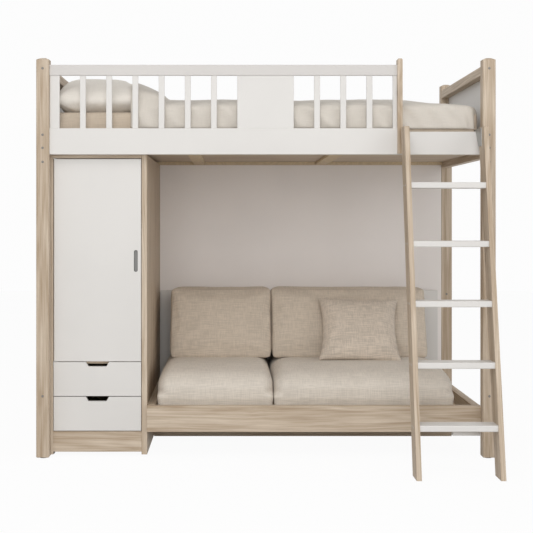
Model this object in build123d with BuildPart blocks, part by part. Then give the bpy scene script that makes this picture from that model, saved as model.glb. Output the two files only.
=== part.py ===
from build123d import *
import os
from math import radians, sin, cos, tan

# Loft bed with a wardrobe, a sofa and a leaning ladder underneath.
# Millimetres, +Z up, front towards -Y, origin on the floor under the middle of the whole footprint.

# Mattress and the clear space round it
mattress_length = 1905.0
mattress_width = 961.0
mattress_thickness = 167.0
mattress_end_play = 6.5
mattress_side_play = 7.0

# Posts and their feet
post_side = 57.0
post_above_guard = 30.0
post_bevel_width = 17.0
post_bevel_drop = 8.0
post_edge_ease = 3.0
glide_height = 4.0
glide_diameter = 34.0
glide_ease = 1.5

# Rails of the bed
edge_ease = 1.5
rail_bottom = 1346.0
side_rail_height = 102.0
side_rail_thickness = 25.0
end_rail_thickness = 38.0
end_rail_recess = 1.0
end_rail_drop = 15.0
end_top_rail_height = 41.0
end_top_rail_below_post = 33.0
end_panel_thickness = 8.0
end_panel_rise = 24.0
end_panel_below_rail = 10.0

# Deck under the mattress
ledger_height = 15.0
ledger_width = 30.0
bearer_width = 60.0
deck_thickness = 12.0
deck_panel_count = 3
deck_gap = 1.0

# Guard along the front
guard_setback = 14.0
guard_thickness = 18.0
guard_height = 397.0
guard_top_rail_height = 47.0
guard_board_height = 116.0
slat_thickness = 14.0
slat_width = 26.0
slat_gap = 90.3
left_slat_count = 6
right_slat_count = 3
guard_left_stile_width = 44.0
guard_right_stile_width = 19.0
guard_panel_width = 251.0
entry_post_width = 22.0
entry_post_depth = 45.0
entry_post_rise = 3.0
entry_post_bevel = 4.0

# Wardrobe, from left to right and from the floor up
wardrobe_setback = 3.0
wardrobe_left_thickness = 18.0
wardrobe_right_thickness = 25.0
wardrobe_reveal = 9.5
front_thickness = 18.0
door_width = 391.0
front_side_gap = 2.0
front_gap = 3.3
wardrobe_foot_height = 7.0
wardrobe_foot_length = 40.0
wardrobe_foot_width = 14.0
wardrobe_foot_inset = 60.0
plinth_bottom = 19.0
plinth_top = 110.0
drawer_front_height = 151.7
board_thickness = 18.0
board_setback = 2.0
door_stop = 5.0
wardrobe_back_thickness = 6.0
hat_shelf_height = 1085.0
hanging_rail_drop = 60.0
hanging_rail_diameter = 25.0
hanging_rail_wall = 2.0
rail_socket_diameter = 46.0
rail_socket_thickness = 10.0

# Recessed pull of the door and the pivots that it turns on
pull_width = 17.0
pull_length = 98.0
pull_depth = 10.8
pull_wall = 1.2
pull_pocket_fit = 0.2
pull_from_edge = 15.0
pull_height = 872.0
pivot_inset = 5.0
pivot_pin_diameter = 4.0
pivot_running_gap = 0.05
pivot_bush_diameter = 7.0
pivot_bush_length = 12.0
pivot_pin_clearance = 1.5
pivot_plate_thickness = 1.5
pivot_plate_length = 16.0
pivot_plate_width = 14.0
pivot_flange_height = 20.0

# Drawers
drawer_box_length = 620.0
drawer_box_height = 112.0
drawer_box_rise = 12.0
drawer_wall = 12.0
drawer_base_thickness = 6.0
drawer_base_rise = 8.0
grip_top_width = 103.0
grip_bottom_width = 81.0
grip_depth = 20.0
grip_corner = 6.0
runner_space = 12.7
runner_height = 45.0
runner_length = 600.0
runner_web = 1.5
runner_flange = 9.0
runner_clearance = 0.4

# Sofa base
sofa_setback = 40.0
sofa_rail_thickness = 36.0
sofa_rail_bottom = 111.0
sofa_rail_height = 116.0
sofa_slat_thickness = 20.0
sofa_slat_width = 75.0
sofa_slat_count = 13
sofa_slat_drop = 30.0
sofa_ledger_height = 25.0
sofa_ledger_width = 20.0
sofa_support_thickness = 18.0
sofa_support_depth = 507.0
sofa_block_length = 123.0
sofa_block_height = 20.0
sofa_block_depth = 36.0
sofa_block_setback = 16.0
sofa_back_top = 684.0
sofa_back_thickness = 22.0
sofa_back_setback = 8.0
sofa_back_left_gap = 5.0
sofa_back_right_gap = 24.0
back_panel_thickness = 12.0

# Sofa cushions, which lie a hair clear of what they rest on
rest_gap = 0.3
seat_left_margin = 43.0
seat_left_width = 523.0
seat_right_margin = 72.5
seat_front_margin = 4.0
seat_back_margin = 10.0
seat_front_height = 153.0
seat_crown = 183.0
seat_rest_height = 175.0
seat_rest_depth = 520.0
seat_bulge = 7.0
seat_corner = 24.0
cushion_gap = 1.0
back_side_inset = 31.0
back_left_width = 502.0
back_depth = 413.7
back_bottom_depth = 265.0
back_lean_front = 134.5
back_front_height = 326.0
back_rear_height = 308.0
back_belly = 26.0
back_crown = 24.0
back_rear_bulge = 12.0
back_corner = 30.0
throw_width = 400.0
throw_height = 362.0
throw_thickness = 118.0
throw_lean = 40.0
throw_side_pinch = 10.0
throw_corner = 14.0
throw_left = 755.5
throw_ahead = 174.8
throw_lift = 11.1

# Bedding
mattress_corner = 60.0
mattress_edge = 20.0
duvet_start = 356.0
duvet_end_gap = 9.0
duvet_side_proud = 12.0
duvet_slack = 0.4
duvet_hang_above_rail = 14.0
duvet_shoulder_drop = 15.0
duvet_edge_rise = 20.0
duvet_shoulder_width = 38.0
duvet_shoulder_bulge = 9.0
duvet_crown = 97.0
pillow_left_gap = 24.0
pillow_width = 470.0
pillow_length = 680.0
pillow_front_gap = 16.0
pillow_seam_height = 44.0
pillow_thickness = 166.0
pillow_side_bulge = 14.0
pillow_corner = 60.0

# Leaning ladder
ladder_reach = 450.0
ladder_lean = 12.9
ladder_height = 1462.0
ladder_board = 104.0
ladder_thickness = 21.0
ladder_post_gap = 1.0
ladder_inner_width = 320.5
ladder_top_round = 10.0
tread_count = 5
tread_first = 215.0
tread_spacing = 250.5
tread_thickness = 26.0
tread_depth = 96.0
tread_setback = 3.0
tread_housing = 6.0
tread_round = 4.0
housing_fit = 0.1
hook_thickness = 4.0
hook_over = 9.0
hook_leg = 5.0
hook_down = 26.0
hook_plate_drop = 70.0
hook_rail_gap = 0.3
hook_corner = 3.0

# Fastener caps on the posts, by height above the floor or by distance from what they fasten
cap_diameter = 11.0
cap_height = 1.4
cap_ease = 0.7
top_cap_below_post = 47.0
rail_cap_heights = [86.0, 28.0]
cap_below_rail = 34.0
low_cap_height = 276.0
back_cap_height = 663.0

# Distances that follow from the driving sizes
inner_length = mattress_length + 2 * mattress_end_play
inner_depth = mattress_width + 2 * mattress_side_play
frame_depth = inner_depth + 2 * post_side
inner_right = inner_length / 2
inner_left = -inner_right
outer_right = inner_right + post_side
front = (ladder_reach - frame_depth) / 2
inner_front = front + post_side
inner_back = inner_front + inner_depth
rail_top = rail_bottom + side_rail_height
front_rail_y = inner_front - side_rail_thickness
back_rail_y = inner_back + side_rail_thickness
ledger_top = rail_bottom + ledger_height
deck_top = ledger_top + deck_thickness
mattress_top = deck_top + mattress_thickness
end_rail_bottom = rail_bottom - end_rail_drop

guard_front = front + guard_setback
guard_back = guard_front + guard_thickness
guard_top = rail_bottom + guard_height
post_height = guard_top + post_above_guard
guard_board_top = rail_bottom + guard_board_height
guard_slat_top = guard_top - guard_top_rail_height
slat_pitch = slat_width + slat_gap
guard_panel_left = inner_left + guard_left_stile_width + left_slat_count * slat_pitch + slat_gap
guard_panel_right = guard_panel_left + guard_panel_width
guard_stile_left = guard_panel_right + right_slat_count * slat_pitch + slat_gap
entry_left = guard_stile_left + guard_right_stile_width

wardrobe_front = inner_front + wardrobe_setback
fronts_back = wardrobe_front + front_thickness
boards_front = fronts_back + board_setback
wardrobe_inner_left = inner_left + wardrobe_reveal
wardrobe_inner_right = wardrobe_inner_left + door_width + 2 * front_side_gap
wardrobe_right = wardrobe_inner_right + wardrobe_right_thickness
wardrobe_top_bottom = end_rail_bottom
front_left = wardrobe_inner_left + front_side_gap
front_right = front_left + door_width
lower_front_bottom = plinth_top + front_gap
upper_front_bottom = lower_front_bottom + drawer_front_height + front_gap
door_bottom = upper_front_bottom + drawer_front_height + front_gap
door_top = wardrobe_top_bottom - front_gap
divider_bottom = door_bottom + door_stop - board_thickness
wardrobe_back_front = inner_back - wardrobe_back_thickness

sofa_front = front + sofa_setback
sofa_inner_front = sofa_front + sofa_rail_thickness
sofa_inner_back = inner_back - sofa_rail_thickness
sofa_rail_top = sofa_rail_bottom + sofa_rail_height
sofa_inner_left = wardrobe_right + sofa_rail_thickness
sofa_inner_right = inner_right - sofa_rail_thickness
sofa_slat_top = sofa_rail_top - sofa_slat_drop
sofa_slat_bottom = sofa_slat_top - sofa_slat_thickness
sofa_back_front = sofa_inner_back + sofa_back_setback

lean_rise = tan(radians(ladder_lean))
ladder_depth = ladder_board / cos(radians(ladder_lean))
ladder_foot_front = front - ladder_reach
ladder_right_outer = inner_right - ladder_post_gap
ladder_right_inner = ladder_right_outer - ladder_thickness
ladder_left_inner = ladder_right_inner - ladder_inner_width
ladder_left_outer = ladder_left_inner - ladder_thickness

os.makedirs("parts", exist_ok=True)


def save(piece, name):
    """Write one named sub-part."""
    piece.label = name
    export_step(piece, f"parts/{name}.step")


def board(x, y, z, along=None, ease=edge_ease):
    """A board between low and high values on each axis, its long edges eased."""
    with BuildPart() as plank:
        with BuildSketch(Plane.XY.offset(z[0])):
            with Locations(((x[0] + x[1]) / 2, (y[0] + y[1]) / 2)):
                Rectangle(x[1] - x[0], y[1] - y[0])
        extrude(amount=z[1] - z[0])
        if along is not None:
            chamfer(plank.edges().filter_by(along), length=ease)
    return plank.part


def group(pieces):
    """Keep several separate solids together as one named sub-part."""
    return Compound(children=pieces)


def bowed_section(plane, corners, bows, radii):
    """A closed outline on a plane: each edge bowed by its own height, each corner rounded by its radius."""
    with BuildSketch(plane, mode=Mode.PRIVATE) as section:
        with BuildLine():
            for index, corner in enumerate(corners):
                following = corners[(index + 1) % len(corners)]
                if bows[index]:
                    SagittaArc(corner, following, bows[index])
                else:
                    Line(corner, following)
        make_face()
        for corner, radius in zip(corners, radii):
            if radius:
                fillet(section.vertices().sort_by_distance(Vector(*corner))[0], radius=radius)
    return section.sketch


# Posts with bevelled tops and eased edges, each on a glide
def corner_post(x_low, y_low):
    with BuildPart() as post:
        with BuildSketch(Plane.XY.offset(glide_height)):
            with Locations((x_low + post_side / 2, y_low + post_side / 2)):
                Rectangle(post_side, post_side)
        extrude(amount=post_height - post_bevel_drop - glide_height)
        chamfer(post.edges().filter_by(Axis.Z), length=post_edge_ease)
        chamfer(post.faces().sort_by(Axis.Z)[0].edges(), length=post_edge_ease)
        post_top = post.faces().sort_by(Axis.Z)[-1]
        flat_side = post_side - 2 * post_bevel_width
        with BuildSketch(Plane.XY.offset(post_height), mode=Mode.PRIVATE) as post_flat:
            with Locations((x_low + post_side / 2, y_low + post_side / 2)):
                Rectangle(flat_side, flat_side)
            chamfer(post_flat.vertices(), length=post_edge_ease * flat_side / post_side)
        loft(sections=[post_top, post_flat.sketch], ruled=True)
    return post.part


def round_glide(x, y):
    with BuildPart() as glide:
        with BuildSketch():
            with Locations((x, y)):
                Circle(glide_diameter / 2)
        extrude(amount=glide_height)
        chamfer(glide.faces().sort_by(Axis.Z)[0].edges(), length=glide_ease)
    return glide.part


post_corners = {
    "post_front_left": (-outer_right, front),
    "post_front_right": (inner_right, front),
    "post_back_left": (-outer_right, inner_back),
    "post_back_right": (inner_right, inner_back),
}
glides = []
for post_name, (x_low, y_low) in post_corners.items():
    save(corner_post(x_low, y_low), post_name)
    glides.append(round_glide(x_low + post_side / 2, y_low + post_side / 2))

# Domed caps over the bolts, on the front of the front posts and the front of the back posts
def bolt_cap(x, y, z):
    with BuildPart() as cap:
        with BuildSketch(Plane.XZ.offset(-y)):
            with Locations((x, z)):
                Circle(cap_diameter / 2)
        extrude(amount=cap_height)
        chamfer(cap.faces().sort_by(Axis.Y)[0].edges(), length=cap_ease)
    return cap.part


front_cap_heights = [post_height - top_cap_below_post, rail_bottom - cap_below_rail, low_cap_height]
front_cap_heights += [rail_bottom + rise for rise in rail_cap_heights]
caps = []
for side in (-1, 1):
    cap_x = side * (inner_right + post_side / 2)
    for cap_z in front_cap_heights:
        caps.append(bolt_cap(cap_x, front, cap_z))
    caps.append(bolt_cap(cap_x, inner_back, back_cap_height))
save(group(caps), "bolt_caps")

# Side rails, one behind the guard and one along the back
save(
    board((inner_left, inner_right), (front_rail_y, inner_front), (rail_bottom, rail_top), Axis.X),
    "side_rail_front",
)
save(
    board((inner_left, inner_right), (inner_back, back_rail_y), (rail_bottom, rail_top), Axis.X),
    "side_rail_back",
)

# Ends: a lower rail, an upper rail and a panel on the outside of both
end_panels = []
for side, end_name in ((-1, "left"), (1, "right")):
    near = side * (inner_right + end_rail_recess)
    far = near + side * end_rail_thickness
    rail_x = sorted((near, far))
    panel_x = sorted((far, far + side * end_panel_thickness))
    between_posts = (inner_front, inner_back)
    top_rail_z = (
        post_height - end_top_rail_below_post - end_top_rail_height,
        post_height - end_top_rail_below_post,
    )
    save(board(rail_x, between_posts, (end_rail_bottom, rail_top), Axis.Y), f"end_bottom_rail_{end_name}")
    save(board(rail_x, between_posts, top_rail_z, Axis.Y), f"end_top_rail_{end_name}")
    panel_z = (end_rail_bottom + end_panel_rise, top_rail_z[1] - end_panel_below_rail)
    end_panels.append(board(panel_x, between_posts, panel_z, Axis.Y))
save(group(end_panels), "end_panels")

# Ledgers along both side rails, bearers between them, and the deck that lies on them
panel_length = (inner_length - (deck_panel_count + 1) * deck_gap) / deck_panel_count
ledger_z = (rail_bottom, ledger_top)
supports = [
    board((inner_left, inner_right), (inner_front, inner_front + ledger_width), ledger_z),
    board((inner_left, inner_right), (inner_back - ledger_width, inner_back), ledger_z),
]
deck_panels = []
for index in range(deck_panel_count):
    panel_left = inner_left + deck_gap + index * (panel_length + deck_gap)
    deck_x = (panel_left, panel_left + panel_length)
    deck_y = (inner_front + deck_gap, inner_back - deck_gap)
    deck_panels.append(board(deck_x, deck_y, (ledger_top, deck_top)))
    if index:
        joint_x = panel_left - deck_gap / 2
        bearer_x = (joint_x - bearer_width / 2, joint_x + bearer_width / 2)
        bearer_y = (inner_front + ledger_width, inner_back - ledger_width)
        supports.append(board(bearer_x, bearer_y, ledger_z, Axis.Y))
save(group(supports), "deck_supports")
save(group(deck_panels), "deck_panels")

# Guard: a top rail that stands proud of the slats, a bottom board, slats and stiles, and a solid panel
guard_x = (inner_left, entry_left)
save(board(guard_x, (guard_front, guard_back), (guard_slat_top, guard_top), Axis.X), "guard_top_rail")
save(board(guard_x, (guard_front, guard_back), (rail_bottom, guard_board_top), Axis.X), "guard_bottom_board")
slat_y = (guard_back - slat_thickness, guard_back)
slat_z = (guard_board_top, guard_slat_top)
slats = [
    board((inner_left, inner_left + guard_left_stile_width), slat_y, slat_z, Axis.Z),
    board((guard_stile_left, entry_left), slat_y, slat_z, Axis.Z),
]
slat_runs = (
    (inner_left + guard_left_stile_width, left_slat_count),
    (guard_panel_right, right_slat_count),
)
for run_start, count in slat_runs:
    for index in range(count):
        slat_left = run_start + slat_gap + index * slat_pitch
        slats.append(board((slat_left, slat_left + slat_width), slat_y, slat_z, Axis.Z))
save(group(slats), "guard_slats")
save(board((guard_panel_left, guard_panel_right), slat_y, slat_z, Axis.Z), "guard_centre_panel")

# Entry post at the end of the guard, notched over the side rail
with BuildPart() as entry_post:
    post_bottom = rail_bottom + entry_post_rise
    with BuildSketch(Plane.YZ.offset(entry_left)):
        with BuildLine():
            Polyline(
                (front, post_bottom),
                (front_rail_y, post_bottom),
                (front_rail_y, rail_top),
                (front + entry_post_depth, rail_top),
                (front + entry_post_depth, post_height - entry_post_rise),
                (front, post_height - entry_post_rise),
                close=True,
            )
        make_face()
    extrude(amount=entry_post_width)
    chamfer(entry_post.faces().sort_by(Axis.Z)[-1].edges(), length=entry_post_bevel)
save(entry_post.part, "guard_entry_post")

# Wardrobe sides, top, bottom, divider and shelf, plinth, back and feet
wardrobe_y = (wardrobe_front, inner_back)
inside_y = (boards_front, wardrobe_back_front)
inside_x = (wardrobe_inner_left, wardrobe_inner_right)
save(
    board(
        (wardrobe_inner_left - wardrobe_left_thickness, wardrobe_inner_left),
        wardrobe_y,
        (wardrobe_foot_height, wardrobe_top_bottom),
        Axis.Z,
    ),
    "wardrobe_side_left",
)
save(
    board((wardrobe_inner_right, wardrobe_right), wardrobe_y, (wardrobe_foot_height, rail_bottom), Axis.Z),
    "wardrobe_side_right",
)
save(
    board((inner_left, wardrobe_inner_right), wardrobe_y, (wardrobe_top_bottom, rail_bottom), Axis.X),
    "wardrobe_top",
)
save(board(inside_x, inside_y, (plinth_top - board_thickness, plinth_top), Axis.X), "wardrobe_bottom")
save(
    group(
        [
            board(inside_x, inside_y, (divider_bottom, divider_bottom + board_thickness), Axis.X),
            board(inside_x, inside_y, (hat_shelf_height, hat_shelf_height + board_thickness), Axis.X),
        ]
    ),
    "wardrobe_shelves",
)
save(board(inside_x, (wardrobe_front, fronts_back), (plinth_bottom, plinth_top), Axis.X), "wardrobe_plinth")
save(
    board(inside_x, (wardrobe_back_front, inner_back), (plinth_bottom, wardrobe_top_bottom)),
    "wardrobe_back",
)


def wardrobe_foot(x, y):
    with BuildPart() as foot:
        with BuildSketch():
            with Locations((x, y)):
                SlotOverall(wardrobe_foot_length, wardrobe_foot_width, rotation=90)
        extrude(amount=wardrobe_foot_height)
        chamfer(foot.faces().sort_by(Axis.Z)[0].edges(), length=glide_ease)
    return foot.part


for foot_x in (
    wardrobe_inner_left - wardrobe_left_thickness / 2,
    wardrobe_inner_right + wardrobe_right_thickness / 2,
):
    for foot_y in (wardrobe_front + wardrobe_foot_inset, inner_back - wardrobe_foot_inset):
        glides.append(wardrobe_foot(foot_x, foot_y))
save(group(glides), "floor_glides")

# Tubular hanging rail between two cup sockets
rail_z = hat_shelf_height - hanging_rail_drop
rail_y = (boards_front + wardrobe_back_front) / 2
rail_bore = hanging_rail_diameter / 2 - hanging_rail_wall
with BuildPart() as hanging_tube:
    with BuildSketch(Plane.YZ.offset(wardrobe_inner_left)):
        with Locations((rail_y, rail_z)):
            Circle(hanging_rail_diameter / 2)
            Circle(rail_bore, mode=Mode.SUBTRACT)
    extrude(amount=wardrobe_inner_right - wardrobe_inner_left)


def rail_socket(x, direction):
    with BuildPart() as socket:
        with BuildSketch(Plane.YZ.offset(x)):
            with Locations((rail_y, rail_z)):
                Circle(rail_socket_diameter / 2)
                Circle(hanging_rail_diameter / 2 + pivot_running_gap, mode=Mode.SUBTRACT)
        extrude(amount=direction * rail_socket_thickness)
    return socket.part


save(
    group([hanging_tube.part, rail_socket(wardrobe_inner_left, 1), rail_socket(wardrobe_inner_right, -1)]),
    "hanging_rail",
)

# Door: pivots near its left front edge, which is rounded about them, and a pocket for the pull
pivot_x = front_left + pivot_inset
pivot_y = wardrobe_front + pivot_inset
pull_x = front_right - pull_from_edge - pull_width / 2
with BuildPart() as door:
    with BuildSketch(Plane.XY.offset(door_bottom)):
        with Locations(((front_left + front_right) / 2, (wardrobe_front + fronts_back) / 2)):
            Rectangle(door_width, front_thickness)
    extrude(amount=door_top - door_bottom)
    door_edges = door.edges().filter_by(Axis.Z).group_by(Axis.Y)[0].sort_by(Axis.X)
    fillet(door_edges[0], radius=pivot_inset - pivot_running_gap)
    chamfer(door.edges().filter_by(Axis.Z).group_by(Axis.Y)[0].sort_by(Axis.X)[-1], length=edge_ease)
    with BuildSketch(Plane.XZ.offset(-wardrobe_front)):
        with Locations((pull_x, pull_height)):
            SlotOverall(pull_length + 2 * pull_pocket_fit, pull_width + 2 * pull_pocket_fit, rotation=90)
    extrude(amount=-pull_depth, mode=Mode.SUBTRACT)
    for bush_plane in (Plane.XY.offset(door_bottom), Plane.XY.offset(door_top - pivot_bush_length)):
        with BuildSketch(bush_plane):
            with Locations((pivot_x, pivot_y)):
                Circle(pivot_bush_diameter / 2)
        extrude(amount=pivot_bush_length, mode=Mode.SUBTRACT)
save(door.part, "wardrobe_door")

# Shallow cup that lines the pull's pocket
with BuildPart() as pull_cup:
    with BuildSketch(Plane.XZ.offset(-wardrobe_front)):
        with Locations((pull_x, pull_height)):
            SlotOverall(pull_length, pull_width, rotation=90)
    extrude(amount=-pull_depth)
    with BuildSketch(Plane.XZ.offset(-wardrobe_front)):
        with Locations((pull_x, pull_height)):
            SlotOverall(pull_length - 2 * pull_wall, pull_width - 2 * pull_wall, rotation=90)
    extrude(amount=pull_wall - pull_depth, mode=Mode.SUBTRACT)
save(pull_cup.part, "door_pull")


# Bushes in the door, and brackets whose pins turn in them
def pivot_bush(z_low):
    with BuildPart() as bush:
        with BuildSketch(Plane.XY.offset(z_low)):
            with Locations((pivot_x, pivot_y)):
                Circle(pivot_bush_diameter / 2)
                Circle(pivot_pin_diameter / 2 + pivot_running_gap, mode=Mode.SUBTRACT)
        extrude(amount=pivot_bush_length)
    return bush.part


save(group([pivot_bush(door_bottom), pivot_bush(door_top - pivot_bush_length)]), "door_pivot_bushes")

pin_length = pivot_bush_length - pivot_pin_clearance


def pivot_bracket(pin_start, direction, plate_low, flange_low, flange_high):
    with BuildPart() as bracket:
        with BuildSketch(Plane.XY.offset(plate_low)):
            with Locations((wardrobe_inner_left, wardrobe_front)):
                Rectangle(pivot_plate_width, pivot_plate_length, align=(Align.MIN, Align.MIN))
        extrude(amount=pivot_plate_thickness)
        with BuildSketch(Plane.XY.offset(flange_low)):
            with Locations((wardrobe_inner_left, wardrobe_front)):
                Rectangle(pivot_plate_thickness, pivot_plate_length, align=(Align.MIN, Align.MIN))
        extrude(amount=flange_high - flange_low)
        with BuildSketch(Plane.XY.offset(pin_start)):
            with Locations((pivot_x, pivot_y)):
                Circle(pivot_pin_diameter / 2)
        extrude(amount=direction * (pin_length + front_gap - pivot_plate_thickness))
    return bracket.part


lower_plate = door_bottom - front_gap + (front_gap - pivot_plate_thickness) / 2
upper_plate = wardrobe_top_bottom - pivot_plate_thickness
save(
    group(
        [
            pivot_bracket(
                lower_plate + pivot_plate_thickness,
                1,
                lower_plate,
                lower_plate - pivot_flange_height,
                lower_plate + pivot_plate_thickness,
            ),
            pivot_bracket(upper_plate, -1, upper_plate, upper_plate, wardrobe_top_bottom),
        ]
    ),
    "door_pivot_brackets",
)


# Drawers: a front with a finger grip cut into its top edge, a box, a base and two runners
def drawer_front(bottom):
    top = bottom + drawer_front_height
    middle = (front_left + front_right) / 2
    with BuildPart() as front_piece:
        with BuildSketch(Plane.XZ.offset(-wardrobe_front)) as front_face:
            with Locations((middle, (bottom + top) / 2)):
                Rectangle(door_width, drawer_front_height)
            with BuildLine():
                Polyline(
                    (middle - grip_top_width / 2, top),
                    (middle - grip_bottom_width / 2, top - grip_depth),
                    (middle + grip_bottom_width / 2, top - grip_depth),
                    (middle + grip_top_width / 2, top),
                    close=True,
                )
            make_face(mode=Mode.SUBTRACT)
            grip_corners = front_face.vertices().group_by(Axis.Y)[1]
            fillet(grip_corners, radius=grip_corner)
        extrude(amount=-front_thickness)
    return front_piece.part


box_left = wardrobe_inner_left + runner_space
box_right = wardrobe_inner_right - runner_space
box_y = (fronts_back, fronts_back + drawer_box_length)


def drawer_box(bottom):
    z = (bottom, bottom + drawer_box_height)
    inner_y = (box_y[0] + drawer_wall, box_y[1] - drawer_wall)
    inner_x = (box_left + drawer_wall, box_right - drawer_wall)
    base_z = (bottom + drawer_base_rise, bottom + drawer_base_rise + drawer_base_thickness)
    return group(
        [
            board((box_left, inner_x[0]), box_y, z, Axis.Y, edge_ease),
            board((inner_x[1], box_right), box_y, z, Axis.Y, edge_ease),
            board(inner_x, (box_y[0], inner_y[0]), z),
            board(inner_x, (inner_y[1], box_y[1]), z),
            board(inner_x, inner_y, base_z),
        ]
    )


def runner_channel(web_x, direction, z_middle, height, y_low):
    """A channel with its web on one side and its two flanges pointing the other way."""
    tip_x = web_x + direction * (runner_web + runner_flange)
    inner_x = web_x + direction * runner_web
    half = height / 2
    with BuildPart() as channel:
        with BuildSketch(Plane.XZ.offset(-y_low)):
            with BuildLine():
                Polyline(
                    (web_x, z_middle - half),
                    (tip_x, z_middle - half),
                    (tip_x, z_middle - half + runner_web),
                    (inner_x, z_middle - half + runner_web),
                    (inner_x, z_middle + half - runner_web),
                    (tip_x, z_middle + half - runner_web),
                    (tip_x, z_middle + half),
                    (web_x, z_middle + half),
                    close=True,
                )
            make_face()
        extrude(amount=-runner_length)
    return channel.part


runner_y = box_y[0] + drawer_wall
inner_runner_height = runner_height - 2 * (runner_web + runner_clearance)
fixed_runners = []
for drawer_name, front_bottom in (("lower", lower_front_bottom), ("upper", upper_front_bottom)):
    box_bottom = front_bottom + drawer_box_rise
    runner_z = box_bottom + drawer_box_height / 2
    save(drawer_front(front_bottom), f"{drawer_name}_drawer_front")
    save(drawer_box(box_bottom), f"{drawer_name}_drawer_box")
    moving = [
        runner_channel(box_left, -1, runner_z, inner_runner_height, runner_y),
        runner_channel(box_right, 1, runner_z, inner_runner_height, runner_y),
    ]
    save(group(moving), f"{drawer_name}_drawer_runners")
    fixed_runners.append(runner_channel(wardrobe_inner_left, 1, runner_z, runner_height, runner_y))
    fixed_runners.append(runner_channel(wardrobe_inner_right, -1, runner_z, runner_height, runner_y))
save(group(fixed_runners), "wardrobe_runners")

# Panel that closes the back of the sofa corner, from the wardrobe to the post
save(
    board(
        (wardrobe_inner_right, inner_right),
        (inner_back, inner_back + back_panel_thickness),
        (sofa_rail_bottom, rail_bottom),
        Axis.X,
    ),
    "back_panel",
)

# Sofa base: rails, ledgers, a support on the floor at mid depth, a block, slats and a board behind the cushions
sofa_z = (sofa_rail_bottom, sofa_rail_top)
save(board((wardrobe_right, inner_right), (sofa_front, sofa_inner_front), sofa_z, Axis.X), "sofa_rail_front")
save(board((wardrobe_right, inner_right), (sofa_inner_back, inner_back), sofa_z, Axis.X), "sofa_rail_back")
save(
    group(
        [
            board((wardrobe_right, sofa_inner_left), (sofa_inner_front, sofa_inner_back), sofa_z, Axis.Y),
            board((sofa_inner_right, inner_right), (sofa_inner_front, sofa_inner_back), sofa_z, Axis.Y),
        ]
    ),
    "sofa_rails_ends",
)
ledger_x = (sofa_inner_left, sofa_inner_right)
sofa_ledger_z = (sofa_slat_bottom - sofa_ledger_height, sofa_slat_bottom)
save(
    group(
        [
            board(ledger_x, (sofa_inner_front, sofa_inner_front + sofa_ledger_width), sofa_ledger_z),
            board(ledger_x, (sofa_inner_back - sofa_ledger_width, sofa_inner_back), sofa_ledger_z),
        ]
    ),
    "sofa_ledgers",
)
support_y = sofa_front + sofa_support_depth
with BuildPart() as support:
    with BuildSketch(Plane.XZ.offset(-support_y - sofa_support_thickness)):
        with BuildLine():
            Polyline(
                (wardrobe_right, 0),
                (sofa_inner_right, 0),
                (sofa_inner_right, sofa_slat_bottom),
                (sofa_inner_left, sofa_slat_bottom),
                (sofa_inner_left, sofa_rail_bottom),
                (wardrobe_right, sofa_rail_bottom),
                close=True,
            )
        make_face()
    extrude(amount=sofa_support_thickness)
save(support.part, "sofa_centre_support")
block_front = sofa_front + sofa_block_setback
save(
    board(
        (inner_right - sofa_block_length, inner_right),
        (block_front, block_front + sofa_block_depth),
        (sofa_rail_bottom - sofa_block_height, sofa_rail_bottom),
        Axis.X,
    ),
    "sofa_corner_block",
)
slat_room = sofa_inner_right - sofa_inner_left
sofa_gap = (slat_room - sofa_slat_count * sofa_slat_width) / (sofa_slat_count + 1)
sofa_slats = []
for index in range(sofa_slat_count):
    slat_left = sofa_inner_left + sofa_gap + index * (sofa_slat_width + sofa_gap)
    slat_x = (slat_left, slat_left + sofa_slat_width)
    slat_span = (sofa_inner_front, sofa_inner_back)
    sofa_slats.append(board(slat_x, slat_span, (sofa_slat_bottom, sofa_slat_top), Axis.Y))
save(group(sofa_slats), "sofa_slats")
save(
    board(
        (wardrobe_right + sofa_back_left_gap, inner_right - sofa_back_right_gap),
        (sofa_back_front, sofa_back_front + sofa_back_thickness),
        (sofa_rail_top, sofa_back_top),
        Axis.X,
    ),
    "sofa_back_board",
)


# Cushions: side profiles with bowed edges, lofted along the length and drawn in towards both ends
end_draw_shares = (
    # place along the length, height and depth, all as shares
    (0.0, 0.84, 0.955),
    (0.035, 0.95, 0.985),
    (0.15, 0.99, 1.0),
    (0.5, 1.0, 1.0),
    (0.85, 0.99, 1.0),
    (0.965, 0.95, 0.985),
    (1.0, 0.84, 0.955),
)


def lofted_cushion(x_low, width, corners, bows, radii, base_z):
    """Loft one closed side profile along X, scaled about its base and its middle depth."""
    depths = [corner[0] for corner in corners]
    middle_y = (min(depths) + max(depths)) / 2
    sections = []
    for place, height, depth in end_draw_shares:
        drawn = [(middle_y + (y - middle_y) * depth, base_z + (z - base_z) * height) for y, z in corners]
        plane = Plane.YZ.offset(x_low + place * width)
        sections.append(bowed_section(plane, drawn, [bow * height for bow in bows], radii))
    with BuildPart() as cushion:
        loft(sections=sections)
    return cushion.part


seat_base = sofa_slat_top + rest_gap
seat_front = sofa_inner_front + seat_front_margin
seat_rear = sofa_back_front - seat_back_margin
seat_rest_y = seat_front + seat_rest_depth
seat_top = seat_base + seat_rest_height
seat_corners = (
    (seat_front + seat_bulge, seat_base),
    (seat_front + seat_bulge, seat_base + seat_front_height),
    (seat_rest_y, seat_top),
    (seat_rear - seat_bulge, seat_top),
    (seat_rear - seat_bulge, seat_base),
)
seat_crown_bow = seat_crown - (seat_front_height + seat_rest_height) / 2
seat_bows = (seat_bulge, seat_crown_bow, 0, seat_bulge, 0)
seat_radii = (seat_corner, seat_corner, 0, seat_corner, seat_corner)
seat_x = wardrobe_right + seat_left_margin
seat_right_x = seat_x + seat_left_width + cushion_gap
seat_end_x = sofa_inner_right - seat_right_margin
seat_runs = (
    ("seat_cushion_left", seat_x, seat_left_width),
    ("seat_cushion_right", seat_right_x, seat_end_x - seat_right_x),
)
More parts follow.
